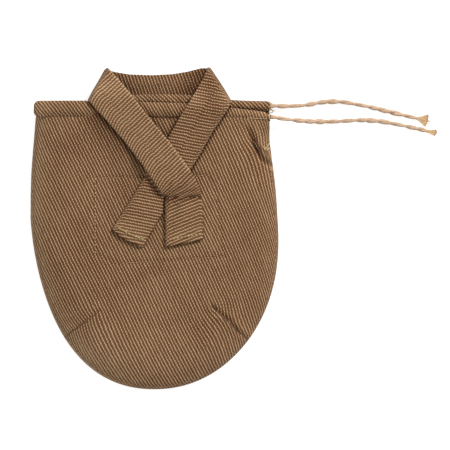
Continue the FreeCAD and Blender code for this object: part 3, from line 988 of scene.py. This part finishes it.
def panel_top(x, y):
    x, y = np.asarray(x, float), np.asarray(y, float)
    inset = (1 - np.clip(rim_share(x, y), 0, 1)) * HALF_WIDTH
    z = PILLOW(inset)
    mouth = smoothstep((y - 30) / 30)
    cap = FRONT_LEVEL(x) + CASING_COVER
    z = z * (1 - mouth) + np.minimum(z, cap) * mouth
    # the rim is open beside the slit, and follows the casing there
    open_side = smoothstep((y - SLIT_TOP_Y) / 11) * smoothstep((x - 35) / 15)
    z = z * (1 - open_side) + cap * open_side
    z = z + ripples(x, y) * smoothstep(inset / 6)
    z = z - dent(x, y, STRAP_RIDGE, 1.6, 8.0)
    for line, depth, width, swell, out in DARTS:
        away, _ = distance_to_line(x, y, line)
        z = z + dent(x, y, line, depth, width) + swell * np.exp(-((away - out) / 1.8) ** 2)
    for fold in RIGHT_TIP_FOLDS:
        z = z + faded_dent(x, y, fold, 0.7, 0.8, 0.3)
    z = z + mid_dent(x, y, PUCKER, 1.9, 1.7) - mid_dent(x - 3.0, y - 0.8, PUCKER, 0.8, 1.6)
    z = z + mid_dent(x, y, TACK_FOLD, 0.9, 0.8)
    z = z + dent(x, y, PATCH_RING, 0.3, 1.0)
    return np.maximum(z, LOWEST_PANEL)


# where cloth is taken in: the tip and mouth, the degrees taken, and how far that shows
TAKEN_IN = [
    (LEFT_DART[-1], LEFT_DART[0], 36, 28),
    (RIGHT_DART[-1], RIGHT_DART[0], 36, 20),
    ((53.6, 51.5), (64.2, 36.0), 34, 15),
]
# painted light (above 0) and painted shade (below 0) on the panel: how much, how wide, and along which line;
# the shade lies in hollows and folds, in the darts and along the patch's seam
PANEL_PAINTED_LIGHT_AND_SHADE = [
    (-0.14, 7.5, [(-30.0, 57.0), (-38.0, 47.0), (-50.0, 42.0)]),
    (-0.12, 5.0, [(53.0, 42.0), (56.0, 36.0)]),
    (-0.06, 12.0, [(54.0, 28.0), (56.0, 0.0)]),
    (-0.11, 3.5, [(-20.0, -31.0), (-8.0, -26.0), (3.0, -21.0)]),
    (-0.08, 6.0, [(24.0, -16.0), (30.0, -24.0)]),
    (0.10, 4.5, [(-31.0, 24.0), (-29.0, 0.0)]),
    (-0.22, 5.0, [(-33.0, 61.0), (-26.5, 54.0), (-17.0, 43.5)]),
    (-0.4, 0.36, RIGHT_DART),
    (-0.32, 0.3, LEFT_DART),
    (-0.25, 0.5, PATCH_RING),
]
# the hollows beside the strap
STRAP_SHADOWS = [
    (-0.45, 1.5, [(-36.0, 70.0), (-26.0, 59.2), (-15.6, 47.1), (-5.9, 34.3)]),
    (-0.30, 2.0, [(-12.4, 73.4), (-1.6, 59.6), (7.9, 48.6)]),
    (-0.24, 2.0, [(19.1, 68.2), (12.3, 57.4), (7.9, 49.7)]),
    (-0.75, 0.8, [(41.6, 66.0), (32.9, 53.2), (25.1, 39.4), (20.7, 32.0)]),
]


# the sum of painted light (above 0) and painted shade (below 0) near each line
def painted_light_and_shade(x, y, places):
    return sum(amount * near(x, y, line, reach) for amount, reach, line in places)


PROFILE_INSETS = np.linspace(0, HALF_WIDTH, 400)
PROFILE_LENGTHS = chain_lengths(np.column_stack([PROFILE_INSETS, PILLOW(PROFILE_INSETS)]))


def laid_flat(x, y):
    """Plan points moved out to where they lay before the cloth was bent down to the rim."""
    share = np.clip(rim_share(x, y), 1e-6, 1)
    from_rim = np.interp((1 - share) * HALF_WIDTH, PROFILE_INSETS, PROFILE_LENGTHS)
    gain = (PROFILE_LENGTHS[-1] - from_rim) / (share * HALF_WIDTH + 1e-9)
    gain = 1 + (gain - 1) * smoothstep((share - 0.3) / 0.4)
    return x * gain, np.where(y < WIDEST_Y, WIDEST_Y + (y - WIDEST_Y) * gain, y)


def panel_shade(x, y):
    """Painted light and shade on the panel: the listed places and the strap's painted shadows, painted light
    on its rim at the left and below, painted shade in the pucker and the tack fold, and a slow, slight
    change of tone.
    """
    lit_left = 0.21 * smoothstep((rim_share(x, y) - 0.84) / 0.12) * smoothstep((-x - 15) / 25)
    lit_below = 0.1 * smoothstep((-48 - y) / 18)
    # painted shade along the pucker's crease and the tack's fold
    pucker = mid_dent(x, y, PUCKER, 0.8, 0.8) + mid_dent(x - 1.9, y + 0.3, PUCKER, 0.25, 0.7)
    tack = mid_dent(x, y, TACK_FOLD, 0.3, 0.6)
    slow = 0.05 * np.sin(0.06 * x - 0.04 * y)
    return painted_light_and_shade(x, y, PANEL_PAINTED_LIGHT_AND_SHADE + STRAP_SHADOWS) + lit_left + lit_below + pucker + tack + slow


def panel_cloth(x, y):
    u, v = x, y
    for tip, mouth, wedge, reach in TAKEN_IN:
        u, v = taken_in(u, v, tip, mouth, wedge, reach)
    u, v = laid_flat(u, v)
    # the ribs crowd together towards the right side and the lower left
    u = u + 0.0022 * np.maximum(u - 20, 0) ** 2 * smoothstep((50 - v) / 30)
    u = u - 0.0025 * np.maximum(-u - 22, 0) ** 2 * smoothstep((-15 - v) / 30)
    across, along, _ = ribs(-64)(u, v)
    # under the pucker the ribs are drawn out towards its foot
    foot = np.exp(-(((x - 74.0) ** 2 + (y - 30.0) ** 2) / 13.0 ** 2))
    across = across - 4.0 * foot * smoothstep((52.5 - 1.38 * (x - 53.6) - y) / 1.5)
    across = across + 0.25 * np.sin(0.045 * u + 0.03 * v) + 0.18 * np.sin(0.09 * v - 0.05 * u + 1.0)
    return across, along, panel_shade(x, y)


front_edge = [(x, float(STITCH_Y(x)) + UNDER_CASING) for x in np.arange(62.0, -64.1, -2.0)]
front_ring = np.concatenate([RIM[RIM[:, 1] < 59.5], front_edge])
front_panel = sheet_piece(
    "cloth_front_panel", front_ring, panel_top, panel_cloth,
    lines=[LEFT_DART[1:], RIGHT_DART[1:]], insets=(0.25, 0.6, 1.1),
)
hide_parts("front_panel")

# -------- the back panel and the inner patch

HIDDEN_STEP = 1.6               # coarser, because neither is seen from above
BACK_PANEL_TOP = 0.78
UNDER_PANEL = 0.85              # how far the patch lies under the front panel's upper side

back_ring = np.concatenate([RIM[RIM[:, 1] < 60.5], [(63.4, 66.0), (-64.4, 64.3)]])
back_panel = sheet_piece(
    "cloth_back_panel", back_ring, lambda x, y: BACK_PANEL_TOP + 0 * x, ribs(64), step=HIDDEN_STEP)
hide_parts("back_panel")

patch = sheet_piece(
    "cloth_inner_patch", PATCH, lambda x, y: panel_top(x, y) - UNDER_PANEL, ribs(26), step=HIDDEN_STEP)
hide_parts("inner_patch")

# -------- the drawstring casings

CASING_RIB = 1.56               # the ribs stand closer on the stretched casings
CASING_PLY = 0.45
CASING_STEP = 0.8
CASING_ROUND = 2.6              # length of the closed left end's round corner
CASING_SIDES = 56
PINCH_FROM = 0.15               # the pinch starts this share of the way down to the lower edge
ROW_DEPTH = 0.06                # how deep the stitching draws the cloth in


def casing(name, cad_node, low_y, top_y, level, tall, ends, low_pinch, row_in, angle, shift, shade_at):
    """A tube of cloth along the mouth, closed and rounded at the left, open at the right."""
    start, stop = ends

    def pinched(share):
        """How much of its height the tube keeps: share is 1 at its upper edge, -1 at its lower."""
        return 1 - low_pinch * smoothstep((-share - PINCH_FROM) / (1 - PINCH_FROM))

    corner_xs = start + CASING_ROUND * (1 - np.cos(np.linspace(0.12, np.pi / 2, 7)))
    xs = np.concatenate([corner_xs, np.arange(start + 3, stop, CASING_STEP), [stop]])
    corner = np.maximum(quarter_round((xs - start) / CASING_ROUND), 0.1)[:, None]
    around = np.linspace(0, 2 * np.pi, CASING_SIDES, endpoint=False)
    cosines, sines = np.cos(around), np.sin(around)
    bottom, peak = low_y(xs)[:, None], top_y(xs)[:, None]
    half = (peak - bottom) / 2 * (0.35 + 0.65 * corner)
    half = half * (1 - 0.3 * np.clip(1 - (stop - xs) / 1.8, 0, 1) ** 3)[:, None]
    y = bottom + (peak - bottom) / 2 + half * cosines
    lumps = 1 + 0.05 * np.sin(xs * 0.31)[:, None] + 0.04 * np.sin(xs * 0.77 + 1)[:, None]
    z = level(xs)[:, None] + tall / 2 + tall / 2 * sines * pinched(cosines) * corner * lumps
    z = z - ROW_DEPTH * (sines > 0) * np.exp(-((y - bottom - row_in) / 0.7) ** 2)
    points = np.stack(np.broadcast_arrays(xs[:, None], y, z), axis=-1)
    faces = np.array(grid_faces(len(xs), CASING_SIDES, wrap=True))[:, ::-1]
    piece = new_piece(name, points.reshape(-1, 3), faces.tolist(), TWILL)

    # unroll the tube from its lower edge, so that the ribs go round it
    steps = np.linalg.norm(np.diff(np.concatenate([points, points[:, :1]], axis=1), axis=1), axis=2)
    girth = np.concatenate([np.zeros((len(xs), 1)), np.cumsum(steps, axis=1)], axis=1)
    half_way = CASING_SIDES // 2
    from_low_edge = girth[:, half_way:half_way + 1] - girth
    i, j = np.divmod(faces, CASING_SIDES)
    wraps = (j.max(axis=1) - j.min(axis=1) > half_way)[:, None] & (j == 0)
    flat_y = from_low_edge[i, np.where(wraps, CASING_SIDES, j)]
    slants = np.radians(angle(xs))
    pace = -np.sin(slants)
    drift = np.concatenate([[0], np.cumsum((pace[1:] + pace[:-1]) / 2 * np.diff(xs))])
    across = (drift[i] + flat_y * np.cos(slants)[i]) * RIB / CASING_RIB + shift
    along = xs[i] * np.cos(slants)[i] + flat_y * np.sin(slants)[i]
    set_vectors(piece, "cloth", "CORNER", np.stack([across, along, shade_at(xs[i], y[i, j])], axis=-1))
    give_thickness(piece, CASING_PLY)
    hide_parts(cad_node)

    def top(px, py):
        low, high = low_y(px), top_y(px)
        share = np.clip((py - (low + high) / 2) / ((high - low) / 2), -1, 1)
        return level(px) + tall / 2 * (1 + np.sqrt(1 - share ** 2) * pinched(share))

    return piece, top


def front_casing_shade(x, y):
    """Painted shade beside the strap, and painted light at both ends."""
    return painted_light_and_shade(x, y, STRAP_SHADOWS) + 0.16 * smoothstep((np.abs(x) - 52) / 8)


def back_casing_shade(x, y):
    """Dark close behind the front casing, but not on the left, where more light gets in."""
    return -1.1 * smoothstep((FRONT_TOP_Y(x) + 1.5 - y) / 1.2) * smoothstep((x + 15) / 10)


front_casing, front_casing_top = casing(
    "cloth_front_casing", "front_casing", STITCH_Y, FRONT_TOP_Y, FRONT_LEVEL, FRONT_TALL,
    ends=(-65.4, 63.8), low_pinch=0.3, row_in=FRONT_ROW_IN,
    angle=through([(-66, -50), (-30, -55), (0, -59), (40, -64), (64, -66)]), shift=0.3,
    shade_at=front_casing_shade)
back_casing, back_casing_top = casing(
    "cloth_back_casing", "back_casing", BACK_LOW_Y, BACK_TOP_Y, BACK_LEVEL, BACK_TALL,
    ends=(-64.6, 63.8), low_pinch=0.5, row_in=BACK_ROW_IN,
    angle=through([(-66, -45), (64, -45)]), shift=0.0,
    shade_at=back_casing_shade)

# -------- the strap's outlines and what it lies on

BAND = [
    (-35.9, 70.8), (-30.4, 80.9), (-26.4, 87.5), (-21.9, 86.0), (-13.5, 84.6), (-1.2, 84.1), (10.1, 84.7),
    (18.5, 86.1), (25.8, 88.0), (30.2, 88.0), (37.0, 78.8), (41.7, 71.0), (36, 66.4), (0, 66.2), (-30, 66.2)]
LEFT_FOLD = [(-36.4, 70.6), (-33.4, 76.4), (-30.2, 81.9), (-27.2, 87.2), (-25.7, 88.4)]
LEFT_LAPEL = LEFT_FOLD + [
    (-24.2, 87.0), (-19.1, 81.5), (-12.4, 73.4), (-1.6, 59.6), (7.9, 48.2), (14.4, 39.6), (19.8, 32.2),
    (22.9, 27.3), (25.2, 22.0), (26.2, 17.9), (26.2, 16.6), (16.0, 16.0), (6.2, 16.2),
    (5.4, 17.6), (-5.9, 34.3), (-15.6, 47.1), (-26.0, 59.2)]
RIGHT_FOLD = [(29.6, 88.5), (31.0, 88.3), (34.6, 83.0), (38.6, 76.9), (42.3, 70.6)]
RIGHT_LAPEL = RIGHT_FOLD + [
    (41.2, 66.0), (32.7, 53.4), (24.9, 39.6), (20.5, 32.6), (5.2, 15.9),
    (-4.6, 29.4), (7.9, 49.7), (12.3, 57.4), (19.1, 68.2), (25.8, 80.4)]
LEFT_TAIL = [
    (-3.6, 30.0), (6.4, 17.4), (5.3, 15.0), (5.3, 8.4), (-3.0, -5.5), (-4.6, -9.3), (-5.6, -10.1),
    (-7.2, -10.1), (-17.0, -5.7), (-22.9, -0.9), (-22.6, -0.1)]
RIGHT_TAIL = [(6.3, 16.9), (26.3, 17.4), (26.8, 6.3), (27.3, -5.3), (26.7, -6.4), (7.3, -10.4), (6.5, -9.8)]
# the seams along the middle of each lapel, and the right one's edge stitching
MID_RIGHT = [(35.6, 79.0), (26.6, 63.5), (14.5, 43.0)]
MID_LEFT = [(-29.5, 77.0), (-14.0, 57.5), (0.5, 40.5)]
RIGHT_EDGE_ROW = [(39.8, 68.5), (30.6, 53.0), (22.9, 39.5)]
BAND_THICKNESS = 0.9
LAPEL_GAP = 0.35                # between a lapel and the highest thing under it
LEFT_TAIL_GAP = 0.25
RIGHT_TAIL_GAP = 0.45

in_front_casing = (MAP_Y > STITCH_Y(MAP_X)) & (MAP_Y < FRONT_TOP_Y(MAP_X)) & (np.abs(MAP_X + 0.9) < 64.7)
in_back_casing = (MAP_Y > BACK_LOW_Y(MAP_X)) & (MAP_Y < BACK_TOP_Y(MAP_X)) & (np.abs(MAP_X + 0.4) < 64.6)
panel_map = raised(np.zeros_like(MAP_X), on_map(front_ring), panel_top)
under_map = raised(panel_map, in_front_casing, front_casing_top)
under_map = raised(under_map, in_back_casing, back_casing_top)


def lying_on(height_map, gap):
    """The height of the middle of a strap that lies on a height map."""
    base = sample(height_map)
    return lambda x, y: base(x, y) + gap + STRAP / 2


def with_seam(middle, line, depth):
    """The same height, drawn in along a seam."""
    return lambda x, y: middle(x, y) + dent(x, y, line, depth, 0.5)


# -------- the strap's back band


def band_middle(x, y):
    """Flat under the back casing, and slightly crowned above it."""
    return 0.5 + 1.6 * smoothstep((y - 71) / 9) * (1 - smoothstep((np.abs(x - 3) - 4) / 24))


# painted shade at both ends of the band, beside the lapels, and along its stitching row
band_cloth = layered(ribs(-70, shift=0.5), [
    (shaded, [(-24.5, 84.0), (-17.0, 75.0)], 5.5, -0.38),
    (shaded, [(29.0, 86.5), (20.5, 74.5)], 7.5, -0.42),
    (shaded, [(-24, 80.6), (0, 78.8), (28, 81.5)], 0.7, -0.12),
])
band, band_top = shell_piece("cloth_collar_back_band", BAND, band_middle, BAND_THICKNESS, band_cloth)
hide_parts("collar_back_band")
under_map = raised(under_map, on_map(BAND), band_top)

# -------- the right lapel, which goes under

# painted shade along the edge row, the middle seam and near the fold at the top; painted highlight along the
# inner rolled border
right_cloth = layered(ribs(-11, shift=0.2), [
    (bent, [(42.0, 69.5), (32.7, 53.4), (24.9, 39.6), (20.5, 32.6)], 2.0, -0.6),
    (stepped, MID_RIGHT, 0.45),
    (shaded, RIGHT_EDGE_ROW, 0.5, -0.16),
    (shaded, MID_RIGHT, 0.5, -0.14),
    (shaded, [(30.0, 76.0), (33.0, 68.0)], 6.0, -0.24),
    (shaded, [(25.8, 80.4), (19.1, 68.2), (12.3, 57.4)], 0.7, 0.25),
])
right_middle = lying_on(stiff_drape(under_map, 5.0, 3.0), LAPEL_GAP)
right_lapel, right_lapel_top = shell_piece(
    "cloth_right_lapel", RIGHT_LAPEL, with_seam(right_middle, MID_RIGHT, 0.22), STRAP, right_cloth,
    fold=RIGHT_FOLD)
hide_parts("right_lapel")

# -------- the left lapel, which lies over it

CREASE = [(5.6, 16.9), (8.6, 15.5), (12.0, 16.7), (15.5, 15.6), (19.5, 16.9), (26.4, 17.4)]
CREASE_FOLDS = [
    [(5.2, 18.2), (8.0, 21.4), (10.6, 25.6)],
    [(6.4, 17.4), (12.5, 20.6), (18.5, 24.6)],
    [(7.2, 16.6), (15.0, 18.9), (23.5, 21.6)],
]
LEFT_BORDER = [(-36.2, 70.4), (-26.0, 59.2), (-15.6, 47.1), (-5.9, 34.3), (5.4, 17.6)]
LEFT_INNER_BORDER = [(-24.2, 87.0), (-12.4, 73.4), (7.9, 48.2), (19.8, 32.2)]

# painted light over the lapel, painted shade at the crease and its folds, painted highlights along both
# rolled borders
left_cloth = layered(ribs(44, pitch=1.74), [
    (bent, LEFT_BORDER, 6.5, 0.3),
    (bent, MID_LEFT, 1.2, 0.2),
    (stepped, MID_LEFT, 0.3),
    (bent, CREASE, 8.0, -0.4),
    (shaded, MID_LEFT, 12.0, 0.12),
    (shaded, CREASE, 0.8, -0.5),
    (shaded, CREASE[:2], 1.4, -0.25),
    (shaded, LEFT_BORDER, 0.8, 0.3),
    (shaded, LEFT_INNER_BORDER, 0.8, 0.3),
    *((shaded, fold, 0.55, -0.3) for fold in CREASE_FOLDS),
])
crossing_map = raised(under_map, on_map(RIGHT_LAPEL), right_lapel_top)
left_base = lying_on(stiff_drape(crossing_map, 9.0, 4.0), LAPEL_GAP)


def left_middle(x, y):
    """Lower and folded towards the crease, where the strap turns down into the right tail."""
    z = left_base(x, y) - 0.5 * (1 - smoothstep((y - 15) / 12))
    for fold in CREASE_FOLDS:
        z = z + faded_dent(x, y, fold, 0.8, 0.8, 0.35)
    return z + dent(x, y, CREASE, 1.1, 1.0)


left_lapel, left_lapel_top = shell_piece(
    "cloth_left_lapel", LEFT_LAPEL, with_seam(left_middle, MID_LEFT, 0.12), STRAP, left_cloth,
    fold=LEFT_FOLD)
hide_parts("left_lapel")

# -------- the two tails


def bend_at_hinge(piece, joint_name):
    """Looks up the strap end's joint and its pivot, which is not used, and moves the piece's placement into
    its mesh.
    """
    joint = next(j for j in frame["record"]["behaviour"]["joints"] if j["name"] == joint_name)
    pivot = np.array(joint["pos_m"])
    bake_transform(piece)


# painted shade under the lapel and along the right and lower edges, painted light on the lower part, and
# darker along a line inside the left edge
left_tail_cloth = layered(ribs(-11.5, shift=0.9), [
    (bent, [(-5.2, 28.3), (-22.6, -0.1)], 2.6, 0.7),
    (shaded, [(-3.2, 27.0), (-20.4, -1.3)], 0.5, -0.16),
    (shaded, [(-3.0, 29.0), (6.4, 16.5)], 2.6, -0.5),
    (shaded, [(5.5, 14.0), (5.3, 8.3), (-3.0, -5.5), (-4.7, -9.4)], 0.45, -0.7),
    (shaded, [(-22.8, -0.8), (-17.0, -5.7), (-7.0, -10.1)], 0.4, -0.5),
    (shaded, [(-21.0, 1.5), (-7.0, -6.0)], 5.0, 0.22),
])
left_tail, left_tail_top = shell_piece(
    "cloth_left_tail", LEFT_TAIL, lying_on(stiff_drape(panel_map, 3.0, 2.2), LEFT_TAIL_GAP), STRAP,
    left_tail_cloth, body=None)
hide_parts("left_tail")
bend_at_hinge(left_tail, "left_tail_lift")

# painted shade at the crease, its small folds and along the right and lower edges, painted light on the
# lower part, and darker along a line down the middle
right_tail_cloth = layered(ribs(22, pitch=1.72, shift=0.4), [
    (bent, [(6.3, 17.0), (6.3, -10.2)], 2.8, 0.45),
    (bent, [(26.3, 17.4), (27.2, -6)], 1.7, 0.5),
    (shaded, CREASE, 1.0, -0.5),
    (shaded, [(26.8, 16.0), (27.3, -5.6), (26.7, -6.4), (6.6, -10.2)], 0.4, -0.5),
    (shaded, [(7.5, 15.8), (8.6, 11.5)], 0.6, -0.3),
    (shaded, [(10.5, 15.8), (12.4, 13.0)], 0.6, -0.3),
    (shaded, [(10.9, 14), (10.9, -8)], 0.5, -0.1),
    (shaded, [(9.0, -4.0), (26.0, -1.0)], 6.0, 0.12),
])
tails_map = np.where(on_map(LEFT_TAIL), left_tail_top(MAP_X, MAP_Y), panel_map)
right_tail_base = lying_on(stiff_drape(tails_map, 2.0, 2.4), RIGHT_TAIL_GAP)


def right_tail_middle(x, y):
    """Joined to the left lapel at the crease, and lying on the cloth further down."""
    at_crease = smoothstep((y - 2) / 14)
    joined = left_middle(x, np.full_like(y, 17.2))
    return right_tail_base(x, y) * (1 - at_crease) + joined * at_crease


right_tail, right_tail_top = shell_piece(
    "cloth_right_tail", RIGHT_TAIL, right_tail_middle, STRAP, right_tail_cloth, body=None)
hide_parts("right_tail")
bend_at_hinge(right_tail, "right_tail_lift")

# -------- stitching

STITCH_SIDES = 6
STITCH_SEED = 5
STITCH_SINK = 0.12              # how deep every stitch is drawn into the cloth


def capsule(thick):
    """A stitch of length 1 along X, rounded at its ends: points and faces."""
    rows = [(-0.5, 0.35), (-0.42, 0.8), (-0.2, 1.0), (0.2, 1.0), (0.42, 0.8), (0.5, 0.35)]
    angles = np.linspace(0, 2 * np.pi, STITCH_SIDES, endpoint=False)
    points = [(x, r * thick / 2 * np.cos(a), r * thick / 2 * np.sin(a)) for x, r in rows for a in angles]
    return np.array(points), tube_faces(len(rows), STITCH_SIDES)


def stitching(name, rows, top, cad_node, material,
              body="pouch", pitch=STITCH, thick=0.42, share=0.72, sink=0.02):
    """Rows of separate stitches that lie on a cloth's upper side and replace a CAD thread.
    share is how much of the pitch a stitch fills; without a pitch, each row is one stitch."""
    rng = np.random.default_rng(STITCH_SEED)
    shape, shape_faces = capsule(thick)
    points, faces = [], []
    for row in rows:
        line, at = even_steps(np.array(row, float), 0.3)
        gap = pitch or at[-1]
        for centre in np.arange(gap / 2, at[-1], gap):
            where = np.clip(centre + np.array([-0.5, 0.5]) * gap * share, 0, at[-1])
            x, y = (np.interp(where, at, column) for column in line.T)
            tail, tip = np.column_stack([x, y, top(x, y)])
            length = np.linalg.norm(tip - tail)
            if length < 1e-6:
                continue
            way = (tip - tail) / length
            side_way = np.cross([0, 0, 1.0], way)
            side_way /= np.linalg.norm(side_way)
            lift = np.cross(way, side_way)
            middle = (tail + tip) / 2 + side_way * rng.normal(0, 0.05)
            middle = middle + lift * (thick / 2 - sink - STITCH_SINK)
            start = len(points) * len(shape)
            run = shape[:, :1] * length * way
            points.append(middle + run + shape[:, 1:2] * side_way + shape[:, 2:] * lift)
            faces.extend(tuple(start + i for i in face) for face in shape_faces)
    piece = new_piece(name, np.concatenate(points), faces, material, body)
    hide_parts(cad_node)


def seam_row(inset, high_y):
    """The pouch's rim drawn in by an inset, up to a height."""
    ring = RIM.copy()
    ring[:, 0] *= 1 - inset / HALF_WIDTH
    low = ring[:, 1] < WIDEST_Y
    ring[low, 1] = WIDEST_Y + (ring[low, 1] - WIDEST_Y) * (1 - inset / DROP)
    return ring[ring[:, 1] < high_y]


def joined_top(x, y):
    """The front panel, or the front casing above the stitching."""
    return np.where(y > STITCH_Y(x) + 0.2, front_casing_top(x, y), panel_top(x, y))


casing_row = [(x, float(STITCH_Y(x)) + FRONT_ROW_IN) for x in np.arange(-64, 63, 1.5)]
rear_row = [(x, float(BACK_LOW_Y(x)) + BACK_ROW_IN) for x in np.arange(-62, 63, 1.5)]
TAN_FROM = 77                   # the row's last stretch, beside the right side seam, shows as tan thread

stitching("stitches_side_seam", [seam_row(1.5, 46.5)], panel_top, "side_seam_stitching", BROWN_THREAD)
stitching("stitches_front_casing", [casing_row[:TAN_FROM]], joined_top, "front_casing_stitching",
          BROWN_THREAD, thick=0.4)
stitching("stitches_front_casing_end", [casing_row[TAN_FROM:]], joined_top, "front_casing_stitching",
          TAN_THREAD, thick=0.7, share=1.0, sink=-0.15)
stitching("stitches_back_casing", [rear_row], back_casing_top, "back_casing_stitching", BROWN_THREAD)
stitching("stitches_left_dart", [LEFT_DART[1:]], panel_top, "left_dart_stitching",
          BROWN_THREAD, thick=0.24)
stitching("stitches_right_dart", [RIGHT_DART[1:]], panel_top, "right_dart_stitching",
          BROWN_THREAD, thick=0.24)
stitching("stitches_patch", [PATCH], panel_top, "patch_stitching",
          TAN_THREAD, thick=0.34, sink=0.04, pitch=1.9, share=0.5)
stitching("stitches_patch_left", [[PATCH[-1], PATCH[0]]], panel_top, "patch_stitching",
          OCHRE_THREAD, thick=0.55, sink=-0.05, pitch=1.9, share=0.6)
stitching("stitches_collar_band", [[(-24, 80.6), (0, 78.6), (28, 81.5)], [(4.6, 77.5), (5.4, 70)]], band_top,
          "collar_band_stitching", BROWN_THREAD, thick=0.34)
stitching("stitches_left_lapel", [MID_LEFT], left_lapel_top, "left_lapel_stitching", BROWN_THREAD, thick=0.3)
stitching("stitches_right_lapel", [RIGHT_EDGE_ROW], right_lapel_top, "right_lapel_stitching",
          BROWN_THREAD, thick=0.3)
stitching("stitches_left_tail", [[(-19.5, 0.6), (-13.6, -2.9), (-6.5, -5.9), (-4.6, -6.2)]], left_tail_top,
          "left_tail_stitching", OCHRE_THREAD, body="left_tail", thick=0.95, pitch=2.0, share=0.8)
stitching("stitches_right_tail", [[(8.2, -6.2), (17, -4.6), (26, -2.9)]], right_tail_top,
          "right_tail_stitching", OCHRE_THREAD, body="right_tail", thick=0.75, pitch=2.0)
BAR_TACK = [
    [(59.8, 45.4), (60.9, 42.7)], [(60.5, 43.1), (62.2, 45.1)], [(62.0, 44.9), (63.6, 46.9)],
    [(61.6, 42.6), (63.5, 44.2)], [(63.9, 39.4), (64.7, 36.2)], [(64.2, 33.8), (64.6, 31.6)]]
stitching("stitches_slit_bar_tack", BAR_TACK, panel_top, "slit_bar_tack",
          OCHRE_THREAD, pitch=None, thick=0.85, share=1.0)

# -------- loose threads at the casings' open ends

LOOSE_THREAD_RADIUS = 0.2


def loose_threads(name, roots, way, length, material, seed):
    """Short curling threads that stand out of cut cloth from root points."""
    rng = np.random.default_rng(seed)
    tubes = Tubes()
    t = np.linspace(0, 1, 6)[:, None]
    for root in roots:
        curl = rng.normal(0, 0.35, 3)
        path = np.array(root) + np.array(way) * t * length * rng.uniform(0.5, 1.0) + curl * length * t ** 2
        tubes.add(path, LOOSE_THREAD_RADIUS, 5)
    piece = new_piece(name, tubes.points, tubes.faces, material)


tuft_roots = [(63.2, y, z) for y in (64.9, 65.3, 65.7) for z in (3.0, 3.6, 4.2)]
loose_threads("threads_back_casing_end", tuft_roots, (1, -0.1, 0), 2.0, OCHRE_THREAD, 4)
loose_threads("thread_between_casings", [(62.8, 63.0, 6.9)], (1, 0.1, -0.1), 4.0, DARK_THREAD, 7)

# -------- the drawstring inside the casings

INSIDE_XS = np.arange(64.0, -60.1, -2.0)
TURN_POINT = (-62.2, 66.0, 5.2)


def run_line(low_y, high_y, shift, level, tall):
    """The cord's middle in a casing, from its open end to the turn."""
    middle_y = (low_y(INSIDE_XS) + high_y(INSIDE_XS)) / 2 + shift
    return np.column_stack([INSIDE_XS, middle_y, level(INSIDE_XS) + tall / 2])


front_inside = run_line(STITCH_Y, FRONT_TOP_Y, 0.4, FRONT_LEVEL, FRONT_TALL)
back_inside = run_line(BACK_LOW_Y, BACK_TOP_Y, 0.0, BACK_LEVEL, BACK_TALL)
inside_line = np.concatenate([front_inside, [TURN_POINT], back_inside[::-1]])
inside_cord, _ = twine("twine_inside", inside_line, None, seed=11)
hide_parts("drawstring_front_run", "drawstring_turn", "drawstring_back_run")
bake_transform(inside_cord)
